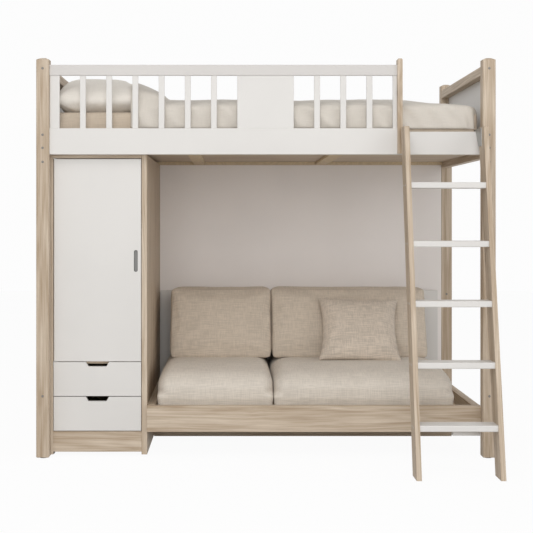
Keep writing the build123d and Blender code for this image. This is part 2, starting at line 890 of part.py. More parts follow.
for cushion_name, cushion_x, cushion_width in seat_runs:
    save(
        lofted_cushion(cushion_x, cushion_width, seat_corners, seat_bows, seat_radii, seat_base),
        cushion_name,
    )

back_base = seat_top + rest_gap
back_rear = sofa_back_front - rest_gap
back_front = back_rear - back_depth
back_corners = (
    (back_front, back_base),
    (back_front + back_lean_front, back_base + back_front_height),
    (back_rear, back_base + back_rear_height),
    (back_front + back_bottom_depth, back_base),
)
back_bows = (back_belly, back_crown, back_rear_bulge, 0)
back_radii = (back_corner, back_corner, back_corner, back_corner)
back_x = seat_x + back_side_inset
back_right_x = back_x + back_left_width + cushion_gap
back_end_x = seat_end_x - back_side_inset
back_runs = (
    ("back_cushion_left", back_x, back_left_width),
    ("back_cushion_right", back_right_x, back_end_x - back_right_x),
)
for cushion_name, cushion_x, cushion_width in back_runs:
    save(
        lofted_cushion(cushion_x, cushion_width, back_corners, back_bows, back_radii, back_base),
        cushion_name,
    )

# Pillows: outlines with bowed sides, stacked through their thickness from the seam to each crown
pillow_shares = ((0.0, 1.0), (0.3, 0.965), (0.62, 0.88), (0.86, 0.72), (1.0, 0.5))


def half_pillow(seam, width, length, rise, bow, corner):
    """One side of a pillow, from its seam to its crown, on the given plane."""
    sections = []
    for rise_share, size_share in pillow_shares:
        half_x = width * size_share / 2
        half_y = length * size_share / 2
        drawn = ((-half_x, -half_y), (half_x, -half_y), (half_x, half_y), (-half_x, half_y))
        bows = [bow * size_share] * len(drawn)
        radii = [corner * size_share] * len(drawn)
        sections.append(bowed_section(seam.offset(rise * rise_share), drawn, bows, radii))
    with BuildPart() as half:
        loft(sections=sections)
    return half.part


def pillow(seam, width, length, rise_up, rise_down, bow, corner):
    with BuildPart() as whole:
        add(half_pillow(seam, width, length, rise_up, bow, corner))
        add(half_pillow(seam, width, length, -rise_down, bow, corner))
    return whole.part


throw_normal = (0, -cos(radians(throw_lean)), sin(radians(throw_lean)))
throw_centre = (
    seat_x + throw_left + throw_width / 2,
    back_front - throw_ahead + throw_height / 2 * sin(radians(throw_lean)),
    seat_top + throw_lift + throw_height / 2 * cos(radians(throw_lean)),
)
throw_seam = Plane(origin=throw_centre, x_dir=(1, 0, 0), z_dir=throw_normal)
throw_rise = throw_thickness / 2
save(
    pillow(throw_seam, throw_width, throw_height, throw_rise, throw_rise, throw_side_pinch, throw_corner),
    "throw_pillow",
)

# Mattress with rounded corners and edges
with BuildPart() as mattress:
    with BuildSketch(Plane.XY.offset(deck_top)):
        with Locations((0, (inner_front + inner_back) / 2)):
            RectangleRounded(mattress_length, mattress_width, mattress_corner)
    extrude(amount=mattress_thickness)
    fillet(mattress.faces().sort_by(Axis.Z)[-1].edges(), radius=mattress_edge)
    fillet(mattress.faces().sort_by(Axis.Z)[0].edges(), radius=mattress_edge)
save(mattress.part, "mattress")

# Pillow at the left end, its long side across the bed
pillow_centre = (
    inner_left + pillow_left_gap + pillow_width / 2,
    inner_front + pillow_front_gap + pillow_length / 2,
    mattress_top + 2 * rest_gap + pillow_seam_height,
)
pillow_seam = Plane(origin=pillow_centre, z_dir=(0, 0, 1))
save(
    pillow(
        pillow_seam,
        pillow_width,
        pillow_length,
        pillow_thickness - pillow_seam_height,
        pillow_seam_height,
        -pillow_side_bulge,
        pillow_corner,
    ),
    "bed_pillow",
)

# Duvet: a crowned quilt that hangs over both long sides, raised where it lies over the pillow
duvet_left = inner_left + duvet_start
duvet_length = inner_right - duvet_end_gap - duvet_left
duvet_outer = mattress_width / 2 + duvet_side_proud
duvet_inner = mattress_width / 2 + duvet_slack
duvet_under = mattress_top + rest_gap
duvet_hem = rail_top + duvet_hang_above_rail
bed_middle = (inner_front + inner_back) / 2
duvet_shares = (
    # place along the length, crown and edge rise, as shares of the crown and the edge rise
    (0.0, 1.72, 0.9),
    (0.02, 1.78, 1.0),
    (0.07, 1.42, 1.0),
    (0.11, 1.0, 0.95),
    (0.2, 0.96, 1.0),
    (0.5, 1.0, 1.1),
    (0.8, 0.98, 1.0),
    (0.93, 0.78, 0.9),
    (0.98, 0.5, 0.7),
    (1.0, 0.2, 0.3),
)
duvet_sections = []
for place, crown_share, edge_share in duvet_shares:
    edge_z = duvet_under + duvet_edge_rise * edge_share
    crown_bow = duvet_crown * crown_share - duvet_edge_rise * edge_share
    shoulder_z = duvet_under - duvet_shoulder_drop
    shoulder_y = duvet_outer - duvet_shoulder_width
    quilt = (
        (bed_middle - duvet_outer, duvet_hem),
        (bed_middle - duvet_outer, shoulder_z),
        (bed_middle - shoulder_y, edge_z),
        (bed_middle + shoulder_y, edge_z),
        (bed_middle + duvet_outer, shoulder_z),
        (bed_middle + duvet_outer, duvet_hem),
        (bed_middle + duvet_inner, duvet_hem),
        (bed_middle + duvet_inner, duvet_under),
        (bed_middle - duvet_inner, duvet_under),
        (bed_middle - duvet_inner, duvet_hem),
    )
    bows = (0, duvet_shoulder_bulge, crown_bow, duvet_shoulder_bulge, 0, 0, 0, 0, 0, 0)
    quilt_plane = Plane.YZ.offset(duvet_left + place * duvet_length)
    duvet_sections.append(bowed_section(quilt_plane, quilt, bows, [0] * len(quilt)))
with BuildPart() as duvet:
    loft(sections=duvet_sections)
    add(
        pillow(
            pillow_seam,
            pillow_width + 2 * duvet_slack,
            pillow_length + 2 * duvet_slack,
            pillow_thickness - pillow_seam_height + duvet_slack,
            pillow_seam_height + duvet_slack,
            -pillow_side_bulge,
            pillow_corner,
        ),
        mode=Mode.SUBTRACT,
    )
save(duvet.part, "duvet")


# Ladder: two leaning boards cut flat at the floor, with a housing for the end of each tread
def front_of_rail(z):
    return ladder_foot_front + z * lean_rise


def tread_section(index, fit):
    """Low and high corners, in Y and Z, of one tread or of the housing that takes it."""
    top = tread_first + index * tread_spacing
    tread_front = front_of_rail(top) + tread_setback
    low = (tread_front - fit, top - tread_thickness - fit)
    high = (tread_front + tread_depth + fit, top + fit)
    return low, high


def ladder_rail(outer_x, housing_x):
    with BuildPart() as rail:
        with BuildSketch(Plane.YZ.offset(outer_x)):
            with BuildLine():
                Polyline(
                    (front_of_rail(0), 0),
                    (front_of_rail(0) + ladder_depth, 0),
                    (front_of_rail(ladder_height) + ladder_depth, ladder_height),
                    (front_of_rail(ladder_height), ladder_height),
                    close=True,
                )
            make_face()
        extrude(amount=ladder_thickness)
        fillet(rail.edges().filter_by(Axis.X).group_by(Axis.Z)[-1], radius=ladder_top_round)
        for index in range(tread_count):
            low, high = tread_section(index, housing_fit)
            with BuildSketch(Plane.YZ.offset(housing_x)):
                with Locations(((low[0] + high[0]) / 2, (low[1] + high[1]) / 2)):
                    RectangleRounded(high[0] - low[0], high[1] - low[1], tread_round)
            extrude(amount=tread_housing + housing_fit, mode=Mode.SUBTRACT)
    return rail.part


save(
    ladder_rail(ladder_left_outer, ladder_left_inner - tread_housing - housing_fit),
    "ladder_rail_left",
)
save(ladder_rail(ladder_right_inner, ladder_right_inner), "ladder_rail_right")

treads = []
for index in range(tread_count):
    low, high = tread_section(index, 0)
    with BuildPart() as tread:
        with BuildSketch(Plane.YZ.offset(ladder_left_inner - tread_housing)):
            with Locations(((low[0] + high[0]) / 2, (low[1] + high[1]) / 2)):
                RectangleRounded(tread_depth, tread_thickness, tread_round)
        extrude(amount=ladder_inner_width + 2 * tread_housing)
    treads.append(tread.part)
save(group(treads), "ladder_treads")


# Steel hooks on the inner faces of the rails, over the top of the side rail
def ladder_hook(x_low):
    plate_front = front_of_rail(rail_top) + ladder_depth - hook_plate_drop
    hook_under = rail_top
    hook_top = rail_top + hook_over
    hook_back = inner_front + hook_rail_gap
    plate_bottom = rail_top - hook_plate_drop
    neck = front_of_rail(plate_bottom) + ladder_depth
    with BuildPart() as hook:
        with BuildSketch(Plane.YZ.offset(x_low)) as plate:
            with BuildLine():
                Polyline(
                    (plate_front, plate_bottom),
                    (neck, plate_bottom),
                    (front_rail_y - hook_leg, hook_under),
                    (hook_back, hook_under),
                    (hook_back, rail_top - hook_down),
                    (hook_back + hook_leg, rail_top - hook_down),
                    (hook_back + hook_leg, hook_top),
                    (plate_front, hook_top),
                    close=True,
                )
            make_face()
            fillet(plate.vertices().group_by(Axis.Y)[-1], radius=hook_corner)
        extrude(amount=hook_thickness)
    return hook.part


save(
    group([ladder_hook(ladder_left_inner), ladder_hook(ladder_right_inner - hook_thickness)]),
    "ladder_hooks",
)
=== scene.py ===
"""Loft bed with a wardrobe, a sofa and a leaning ladder: finishes, soft pieces, light and camera."""
import math

import bpy
from bpy.props import FloatProperty, FloatVectorProperty, IntProperty, PointerProperty
from mathutils import Matrix, Vector, noise
from mathutils.bvhtree import BVHTree


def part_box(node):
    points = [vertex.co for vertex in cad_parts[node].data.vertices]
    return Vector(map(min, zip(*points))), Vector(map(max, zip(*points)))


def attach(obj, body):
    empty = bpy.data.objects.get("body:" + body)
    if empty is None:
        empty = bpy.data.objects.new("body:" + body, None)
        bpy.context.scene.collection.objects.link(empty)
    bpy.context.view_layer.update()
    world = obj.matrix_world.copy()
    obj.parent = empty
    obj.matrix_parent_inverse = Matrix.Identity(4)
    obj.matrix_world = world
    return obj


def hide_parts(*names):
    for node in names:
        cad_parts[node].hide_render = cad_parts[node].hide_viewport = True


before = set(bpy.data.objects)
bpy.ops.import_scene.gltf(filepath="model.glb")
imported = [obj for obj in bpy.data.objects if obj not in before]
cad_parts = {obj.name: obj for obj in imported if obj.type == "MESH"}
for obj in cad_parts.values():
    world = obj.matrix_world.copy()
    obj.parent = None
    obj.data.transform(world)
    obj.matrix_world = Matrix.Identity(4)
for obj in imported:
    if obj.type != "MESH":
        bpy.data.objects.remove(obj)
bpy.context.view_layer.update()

bl_info = {
    "name": "Loft Bed",
    "version": (1, 0, 0),
    "blender": (4, 5, 0),
    "location": "3D View > Sidebar > Loft Bed",
    "description": "Finishes, cushions and bedding for a loft bed with a sofa, a wardrobe and a ladder",
    "category": "Object",
}

MM = 0.001

MATTRESS_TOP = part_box("mattress")[1][2]
PILLOW_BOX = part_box("bed_pillow")
PILLOW_SEAM = 48 * MM
POST_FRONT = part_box("post_front_left")[0][1]
SOFA_RAIL_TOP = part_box("sofa_rail_front")[1][2]


def paint(red, green, blue):
    """A colour as a screen shows it, 0 to 255, in the linear values that a material takes."""
    shares = (red / 255, green / 255, blue / 255)
    return tuple(s / 12.92 if s <= 0.04045 else ((s + 0.055) / 1.055) ** 2.4 for s in shares)


def soft_max(first, second, blend):
    """The larger of two values, with a smooth turn where they are about equal."""
    share = max(blend - abs(first - second), 0.0) / blend
    return max(first, second) + share * share * blend / 4


def smooth_step(low, high, value):
    """0 below low, 1 above high, and a smooth rise between."""
    share = min(max((value - low) / (high - low), 0.0), 1.0)
    return share * share * (3 - 2 * share)


# Sizes and colours that a user would change
def colour_property(name, description, red, green, blue):
    return FloatVectorProperty(
        name=name,
        description=description,
        subtype="COLOR",
        size=3,
        min=0,
        max=1,
        default=paint(red, green, blue),
    )


def length_property(name, description, millimetres):
    return FloatProperty(
        name=name,
        description=description,
        subtype="DISTANCE",
        unit="LENGTH",
        min=0,
        default=millimetres * MM,
    )


def power_property(name, description, watts):
    return FloatProperty(name=name, description=description, unit="POWER", min=0, default=watts)


class LoftBedColours(bpy.types.PropertyGroup):
    oak_light: colour_property("Light oak", "The palest ribbons of the oak", 213, 198, 179)
    oak_dark: colour_property("Dark oak", "The darkest streaks of the oak", 160, 138, 113)
    oak_knot: colour_property("Knot", "The knots and pores of the oak", 118, 92, 68)
    white_board: colour_property("White board", "Lacquer of the guard, doors and treads", 219, 216, 212)
    white_rail: colour_property("White rail", "Lacquer of the guard's top rail", 207, 203, 199)
    # Painted light: the back board is the white lacquer made lighter than the boards' white, to brighten the
    # shaded niche behind the sofa
    back_board: colour_property("Back board", "Panel behind the sofa", 236, 230, 226)
    softwood: colour_property("Softwood", "Slats, ledgers and drawer boxes", 214, 193, 160)
    seat_linen: colour_property("Seat linen", "Cloth of the seat cushions", 213, 204, 192)
    back_linen: colour_property("Back linen", "Cloth of the back cushions", 199, 186, 170)
    throw_linen: colour_property("Throw linen", "Cloth of the throw pillow", 203, 190, 175)
    bed_cotton: colour_property("Bed cotton", "Cloth of the bed pillow", 231, 225, 216)
    duvet_cotton: colour_property("Duvet cotton", "Cloth of the duvet", 210, 203, 193)
    mattress_tick: colour_property("Mattress ticking", "Cloth of the mattress", 199, 184, 166)
    steel: colour_property("Steel", "Hooks, runners and brackets", 176, 176, 174)
    grip_grey: colour_property("Grip grey", "The door's recessed pull", 128, 127, 125)
    cap_grey: colour_property("Cap grey", "Fastener caps", 132, 128, 122)
    glide_black: colour_property("Glide black", "Glides under the posts", 38, 36, 34)


class LoftBedSoftSizes(bpy.types.PropertyGroup):
    cushion_cell: length_property("Cushion mesh", "Side of the cushions' mesh cells", 12)
    seat_puff: length_property("Seat puff", "How far the seat cloth may swell or sink", 7)
    back_puff: length_property("Back puff", "How far the back cloth may swell or sink", 6)
    pillow_puff: length_property("Pillow puff", "How far a pillow's cloth may swell or sink", 8)
    seam_radius: length_property("Seam radius", "Radius of the sewn edge of a cushion", 1.6)
    throw_lean: FloatProperty(
        name="Throw pillow lean",
        description="Angle that the throw pillow leans back by",
        subtype="ANGLE",
        unit="ROTATION",
        default=math.radians(40),
    )
    sim_frames: IntProperty(
        name="Settling frames",
        description="Frames that the cloth settles for",
        min=1,
        default=20,
    )


class LoftBedStage(bpy.types.PropertyGroup):
    camera_distance: length_property("Camera distance", "From the camera to the front of the posts", 5220)
    camera_height: length_property("Camera height", "Height of the level camera over the floor", 1055)
    camera_side: FloatProperty(
        name="Camera side",
        description="Place of the camera along the bed",
        subtype="DISTANCE",
        unit="LENGTH",
        default=-159 * MM,
    )
    focal_length: FloatProperty(
        name="Focal length",
        description="Lens, in millimetres",
        unit="CAMERA",
        min=1,
        default=79.77,
    )
    shift_right: FloatProperty(name="Shift right", description="Picture shift to the right", default=0.0685)
    shift_up: FloatProperty(name="Shift up", description="Picture shift upwards", default=-0.0872)
    floor_side: length_property("Floor side", "Side of the square floor", 24000)
    sky_strength: FloatProperty(
        name="Sky strength",
        description="Even light from all round",
        min=0,
        default=0.52,
    )
    key_power: power_property("Key light", "Soft light from the front left", 115)
    fill_power: power_property("Fill light", "Soft light from the front right", 42)
    low_power: power_property("Low light", "Soft light from straight ahead", 165)


# Shader arithmetic: a wire is an output socket that numbers and other wires combine with
class Wire:
    """An output socket of a finish."""

    def __init__(self, finish, socket):
        self.finish = finish
        self.socket = socket

    def math(self, operation, *others):
        inputs = dict(enumerate((self, *others)))
        return self.finish.node("ShaderNodeMath", {"operation": operation}, inputs)

    def __add__(self, other):
        return self.math("ADD", other)

    __radd__ = __add__

    def __mul__(self, other):
        return self.math("MULTIPLY", other)

    __rmul__ = __mul__

    def __sub__(self, other):
        return self.math("SUBTRACT", other)

    def __rsub__(self, other):
        return self.finish.node("ShaderNodeMath", {"operation": "SUBTRACT"}, {0: other, 1: self})

    def __truediv__(self, other):
        return self.math("DIVIDE", other)

    def wave(self):
        """From 0 to 1 and back, once in each full turn of an angle."""
        return self.math("SINE") * 0.5 + 0.5

    def step(self, low, high):
        """0 at low, 1 at high, smooth between; low may be the larger."""
        settings = {"interpolation_type": "SMOOTHSTEP"}
        inputs = {"Value": self, "From Min": low, "From Max": high}
        return self.finish.node("ShaderNodeMapRange", settings, inputs)


class Finish:
    """A material, or the world, in the making."""

    def __init__(self, name, library="materials"):
        self.made = getattr(bpy.data, library).new(name)
        self.made.use_nodes = True
        self.tree = self.made.node_tree
        self.tree.nodes.clear()

    def node(self, kind, settings=(), inputs=(), output=0):
        """Make a node: its settings first, then a value or a wire for each socket."""
        made = self.tree.nodes.new(kind)
        for key, value in dict(settings).items():
            setattr(made, key, value)
        for key, value in dict(inputs).items():
            socket = made.inputs[key]
            if isinstance(value, Wire):
                self.tree.links.new(value.socket, socket)
            else:
                socket.default_value = value
        return None if output is None else Wire(self, made.outputs[output])

    def place(self):
        return self.node("ShaderNodeTexCoord", output="Object")

    def scaled(self, vector, x, y, z):
        return self.node("ShaderNodeVectorMath", {"operation": "MULTIPLY"}, {0: vector, 1: (x, y, z)})

    def moved(self, vector, other):
        return self.node("ShaderNodeVectorMath", {"operation": "ADD"}, {0: vector, 1: other})

    def split(self, vector):
        return [self.node("ShaderNodeSeparateXYZ", (), {"Vector": vector}, axis) for axis in "XYZ"]

    def joined(self, x, y, z):
        return self.node("ShaderNodeCombineXYZ", (), {"X": x, "Y": y, "Z": z})

    def noise(self, vector, scale=1.0, detail=2.0, rough=0.5, output="Fac"):
        inputs = {"Vector": vector, "Scale": scale, "Detail": detail, "Roughness": rough}
        return self.node("ShaderNodeTexNoise", (), inputs, output)

    def mixed(self, share, first, second):
        """first where share is 0, second where it is 1."""
        inputs = {0: share, 6: rgba(first), 7: rgba(second)}
        return self.node("ShaderNodeMix", {"data_type": "RGBA"}, inputs, 2)

    def bump(self, height, distance, strength):
        inputs = {"Height": height, "Distance": distance, "Strength": strength}
        return self.node("ShaderNodeBump", (), inputs)

    def surface(self, colour, **inputs):
        """Close the material with the main shader; names use _ for a space."""
        named = {key.replace("_", " "): value for key, value in inputs.items()}
        named["Base Color"] = rgba(colour)
        shader = self.node("ShaderNodeBsdfPrincipled", (), named, "BSDF")
        return self.close(shader)

    def close(self, shader, kind="ShaderNodeOutputMaterial"):
        self.node(kind, (), {"Surface": shader}, None)
        return self.made


def rgba(colour):
    """A colour with its alpha, or the wire that carries one."""
    return colour if isinstance(colour, Wire) else (*tuple(colour)[:3], 1.0)


def toned(colour, share):
    """A colour with each channel at a share of its value, and at most 1."""
    return tuple(min(channel * share, 1.0) for channel in colour)


# Finishes
LADDER_LEAN = math.radians(12.9)
GRAIN_TURNS = {
    "upright": (0.0, 0.0, 0.0),
    "lengthwise": (0.0, math.radians(90), 0.0),
    "crosswise": (math.radians(90), 0.0, 0.0),
    "leaning": (LADDER_LEAN, 0.0, 0.0),
}


def oak(run, colours):
    """Pale oak whose grain runs upright, lengthwise, crosswise or leaning like the ladder."""
    finish = Finish(f"oak_{run}")
    rotation = {"Vector": finish.place(), "Rotation": GRAIN_TURNS[run]}
    turned = finish.node("ShaderNodeVectorRotate", {"rotation_type": "EULER_XYZ"}, rotation)
    wander = finish.noise(finish.scaled(turned, 1.6, 1.6, 0.9), 1.0, 2.0, output="Color")
    drift = finish.scaled(finish.moved(wander, (-0.5, -0.5, -0.5)), 0.05, 0.05, 0.0)
    grain = finish.moved(turned, drift)

    def fibres(across, along, detail, rough=0.5):
        """Noise drawn out along the grain, with so many cells to the metre across it and along it."""
        return finish.noise(finish.scaled(grain, across, across, along), 1.0, detail, rough)

    # One cell in eight holds a knot, and the rings swirl round it
    cells = {"Vector": finish.scaled(grain, 1.0, 1.0, 0.5), "Scale": 5.0, "Randomness": 1.0}
    knot_far = finish.node("ShaderNodeTexVoronoi", (), cells, "Distance")
    cell_tint = finish.node("ShaderNodeTexVoronoi", (), cells, "Color")
    knotty = finish.split(cell_tint)[0].step(0.86, 0.88)
    swirl = knot_far.step(0.30, 0.02) * knotty * 1.3
    halo = knot_far.step(0.14, 0.03) * knotty * 0.35
    knots = knot_far.step(0.050, 0.025) * knotty

    figure = fibres(11.0, 0.55, 1.0)
    ring_count = 15.0
    rings = ((figure * ring_count + swirl) * 2 * math.pi).wave()
    ribbons = fibres(36.0, 1.5, 3.0, 0.6)
    streaks = fibres(260.0, 3.5, 3.0, 0.6)
    pores = fibres(620.0, 22.0, 1.0).step(0.64, 0.74)
    tone = ribbons.step(0.32, 0.68) * 0.46 + streaks.step(0.30, 0.70) * 0.34 + rings * 0.20
    plain = finish.mixed(tone, colours.oak_dark, colours.oak_light)
    marks = (pores * 0.16 + halo).math("MAXIMUM", knots * 0.75)
    colour = finish.mixed(marks, plain, colours.oak_knot)
    height = streaks * 0.5 + rings * 0.2 - pores * 0.6 - knots * 0.4
    normal = finish.bump(height, 0.25 * MM, 0.35)
    rough = 0.62 - streaks * 0.12 + pores * 0.1
    return finish.surface(colour, Roughness=rough, Normal=normal, Specular_IOR_Level=0.35)


def lacquer(name, colour):
    """Satin lacquer on board, with the faintest roll marks and unevenness."""
    finish = Finish(name)
    place = finish.place()
    cloud = finish.noise(place, 2.3, 3.0)
    skin = finish.noise(place, 420.0, 2.0)
    tinted = finish.mixed(cloud.step(0.3, 0.7), toned(colour, 0.955), colour)
    rough = 0.44 + (cloud - 0.5) * 0.10 + (skin - 0.5) * 0.05
    normal = finish.bump(skin, 0.06 * MM, 0.25)
    return finish.surface(tinted, Roughness=rough, Normal=normal, Specular_IOR_Level=0.4)


def softwood(colours):
    """Planed softwood with soft year rings, for the slats, the ledgers and the drawer boxes."""
    finish = Finish("softwood")
    place = finish.place()
    figure = finish.noise(finish.scaled(place, 9.0, 2.2, 9.0), 1.0, 1.0)
    ring_angle = 90.0
    rings = (figure * ring_angle).wave()
    fibres = finish.noise(finish.scaled(place, 240.0, 24.0, 240.0), 1.0, 2.0)
    colour = finish.mixed(rings * 0.5 + fibres * 0.4, toned(colours.softwood, 0.78), colours.softwood)
    normal = finish.bump(fibres, 0.2 * MM, 0.3)
    return finish.surface(colour, Roughness=0.66 + (fibres - 0.5) * 0.1, Normal=normal)


def linen(name, colour, thread, contrast, depth):
    """Plain-woven cloth: slubs along the piece and across it over fine threads, uneven in colour."""
    finish = Finish(name)
    place = finish.place()
    x, y, z = finish.split(place)
    across = y + z
    slub = thread / 1.3
    weft = finish.noise(finish.joined(x * 13.0, across / slub, 0.0), 1.0, 2.0, 0.65)
    warp = finish.noise(finish.joined(x / slub, across * 16.0, 7.0), 1.0, 2.0, 0.65)
    mottle = finish.noise(place, 14.0, 3.0, 0.6)
    threads = weft.step(0.25, 0.75) * 0.58 + warp.step(0.25, 0.75) * 0.42
    tone = threads * 0.86 + mottle.step(0.3, 0.7) * 0.14
    tinted = finish.mixed(tone.step(0.22, 0.78), toned(colour, 1 - contrast), toned(colour, 1 + contrast))
    thread_pitch = 0.9 * MM
    turn = math.pi / thread_pitch
    over = (x * turn).math("SINE") * (across * turn).math("SINE")
    normal = finish.bump(threads + over * 0.3, depth, 0.6)
    return finish.surface(
        tinted,
        Roughness=0.92 - threads * 0.08,
        Normal=normal,
        Specular_IOR_Level=0.2,
        Sheen_Weight=0.12,
        Sheen_Roughness=0.5,
    )


def metal(name, colour, run, rough):
    """Drawn or zinc-plated metal, its marks along one direction."""
    finish = Finish(name)
    place = finish.place()
    marks = finish.noise(finish.scaled(place, *run), 1.0, 3.0)
    cloud = finish.noise(place, 60.0, 2.0)
    tinted = finish.mixed(marks * 0.6 + cloud * 0.4, toned(colour, 0.8), colour)
    normal = finish.bump(marks, 0.05 * MM, 0.3)
    return finish.surface(tinted, Metallic=1.0, Roughness=rough + (marks - 0.5) * 0.2, Normal=normal)


def moulded(name, colour, rough):
    """Moulded plastic with a fine grain."""
    finish = Finish(name)
    place = finish.place()
    grit = finish.noise(place, 900.0, 2.0)
    cloud = finish.noise(place, 40.0, 2.0)
    tinted = finish.mixed(cloud, toned(colour, 0.85), colour)
    normal = finish.bump(grit, 0.05 * MM, 0.4)
    return finish.surface(tinted, Roughness=rough + (grit - 0.5) * 0.1, Normal=normal)


def dress(finish, *nodes):
    """Give CAD nodes one finish."""
    for node in nodes:
        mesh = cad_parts[node].data
        mesh.materials.clear()
        mesh.materials.append(finish)


# Meshes
TINY = 1e-6
FEWEST_CELLS = 8


def new_piece(name, vertices, faces, finish, smooth=True):
    """A mesh object that rides on the frame and takes its finish from a slot."""
    mesh = bpy.data.meshes.new(name)
    mesh.from_pydata([tuple(v) for v in vertices], [], [tuple(f) for f in faces])
    mesh.validate()
    mesh.polygons.foreach_set("use_smooth", [smooth] * len(mesh.polygons))
    mesh.materials.append(finish)
    piece = bpy.data.objects.new(name, mesh)
    bpy.context.scene.collection.objects.link(piece)
    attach(piece, "frame")
    return piece


def evaluated_mesh(piece):
    """The piece's mesh with its modifiers applied."""
    graph = bpy.context.evaluated_depsgraph_get()
    return bpy.data.meshes.new_from_object(piece.evaluated_get(graph))


def bake_modifiers(piece):
    """Replace the piece's mesh by its evaluated one, and drop the modifiers."""
    finished = evaluated_mesh(piece)
    piece.modifiers.clear()
    old = piece.data
    for material in old.materials:
        if material.name not in finished.materials:
            finished.materials.append(material)
    piece.data = finished
    bpy.data.meshes.remove(old)
    finished.polygons.foreach_set("use_smooth", [True] * len(finished.polygons))


def box_grid(counts):
    """Places from -1 to 1 on the faces of a cube, with a number of cells along each axis, and the faces."""
    index_of = {}
    places = []
    faces = []

    def corner(key):
        if key not in index_of:
            index_of[key] = len(places)
            places.append(Vector([2 * step / count - 1 for step, count in zip(key, counts)]))
        return index_of[key]

    for axis in range(3):
        first, second = (axis + 1) % 3, (axis + 2) % 3
        for end in (0, counts[axis]):
            for i in range(counts[first]):
                for j in range(counts[second]):
                    ring = []
                    for step_i, step_j in ((0, 0), (1, 0), (1, 1), (0, 1)):
                        key = [0, 0, 0]
                        key[axis] = end
                        key[first] = i + step_i
                        key[second] = j + step_j
                        ring.append(corner(tuple(key)))
                    faces.append(ring if end else ring[::-1])
    return places, faces


def softened(place, half, radii):
    """A place on a cube of the given half sides, with the edges rounded by a radius along each axis."""
    inner = [max(side - radius, 0.0) for side, radius in zip(half, radii)]
    point = [share * side for share, side in zip(place, half)]
    core = [min(max(value, -limit), limit) for value, limit in zip(point, inner)]
    out = Vector([(value - middle) / radius for value, middle, radius in zip(point, core, radii)])
    if out.length > TINY:
        out.normalize()
    return Vector([middle + step * radius for middle, step, radius in zip(core, out, radii)])


def blocked_out(node, cell):
    """A CAD node's box as two corners, its middle and half sides, and a cube's grid of cells for it."""
    low, high = (Vector(corner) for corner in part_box(node))
    middle = (low + high) / 2
    half = (high - low) / 2
    places, faces = box_grid([max(FEWEST_CELLS, round(2 * side / cell)) for side in half])
    return low, high, middle, half, places, faces


def swell(piece, amount):
    """Move every point along its normal, by an amount that depends on its place."""
    mesh = piece.data
    normals = [vertex.normal.copy() for vertex in mesh.vertices]
    places = [vertex.co.copy() for vertex in mesh.vertices]
    moved = [place + normal * amount(place) for place, normal in zip(places, normals)]
    mesh.vertices.foreach_set("co", [value for place in moved for value in place])
    mesh.update()


def settle(piece, reach, frames, pressure, stiffness=12.0, bending=0.6):
    """Let the cloth of a piece swell and wrinkle under pressure, each point by at most its reach."""
    scene = bpy.context.scene
    start = [vertex.co.copy() for vertex in piece.data.vertices]
    cloth = piece.modifiers.new("Cloth", "CLOTH")
    cloth.settings.quality = 5
    cloth.settings.mass = 0.3
    cloth.settings.tension_stiffness = stiffness
    cloth.settings.compression_stiffness = stiffness
    cloth.settings.shear_stiffness = stiffness / 2
    cloth.settings.bending_stiffness = bending
    cloth.settings.use_pressure = True
    cloth.settings.uniform_pressure_force = pressure
    cloth.settings.effector_weights.gravity = 0
    cloth.collision_settings.use_collision = False
    cloth.point_cache.frame_start = 1
    cloth.point_cache.frame_end = frames
    for number in range(1, frames + 1):
        scene.frame_set(number)
    settled = evaluated_mesh(piece)
    for vertex, moved, origin in zip(piece.data.vertices, settled.vertices, start):
        step = moved.co - origin
        if step.length > reach:
            step.length = reach
        vertex.co = origin + step
    piece.modifiers.remove(cloth)
    bpy.data.meshes.remove(settled)
    scene.frame_set(1)


def refine(piece):
    """One level of smooth subdivision, applied."""
    finer = piece.modifiers.new("Finer", "SUBSURF")
    finer.levels = 1
    finer.render_levels = 1
    bake_modifiers(piece)


def keep_inside(piece, low, high):
    """Press the piece flat where it would pass the given corners."""
    for vertex in piece.data.vertices:
        for axis in range(3):
            vertex.co[axis] = min(max(vertex.co[axis], low[axis]), high[axis])


def surface_of(piece):
    """The piece's surface, to find the nearest place on it."""
    return BVHTree.FromPolygons(
        [vertex.co.copy() for vertex in piece.data.vertices],
        [tuple(polygon.vertices) for polygon in piece.data.polygons],
    )


def ring_faces(first, second, sides, reverse=False):
    """The faces between two rings of a mesh, each given by the number of its first vertex."""
    faces = []
    for turn in range(sides):
        right = (turn + 1) % sides
        face = (first + turn, first + right, second + right, second + turn)
        faces.append(face[::-1] if reverse else face)
    return faces


def tube(name, path, radius, finish, sides=6):
    """A thin round line along a closed path."""
    askew = Vector((0.31, 0.17, 0.94))
    count = len(path)
    vertices = []
    faces = []
    for index, point in enumerate(path):
        following = (index + 1) % count
        along = (path[following] - path[index - 1]).normalized()
        side = along.cross(askew).normalized()
        lift = along.cross(side)
        for turn in range(sides):
            angle = turn / sides * 2 * math.pi
            vertices.append(point + side * math.cos(angle) * radius + lift * math.sin(angle) * radius)
        faces += ring_faces(index * sides, following * sides, sides)
    return new_piece(name, vertices, faces, finish)


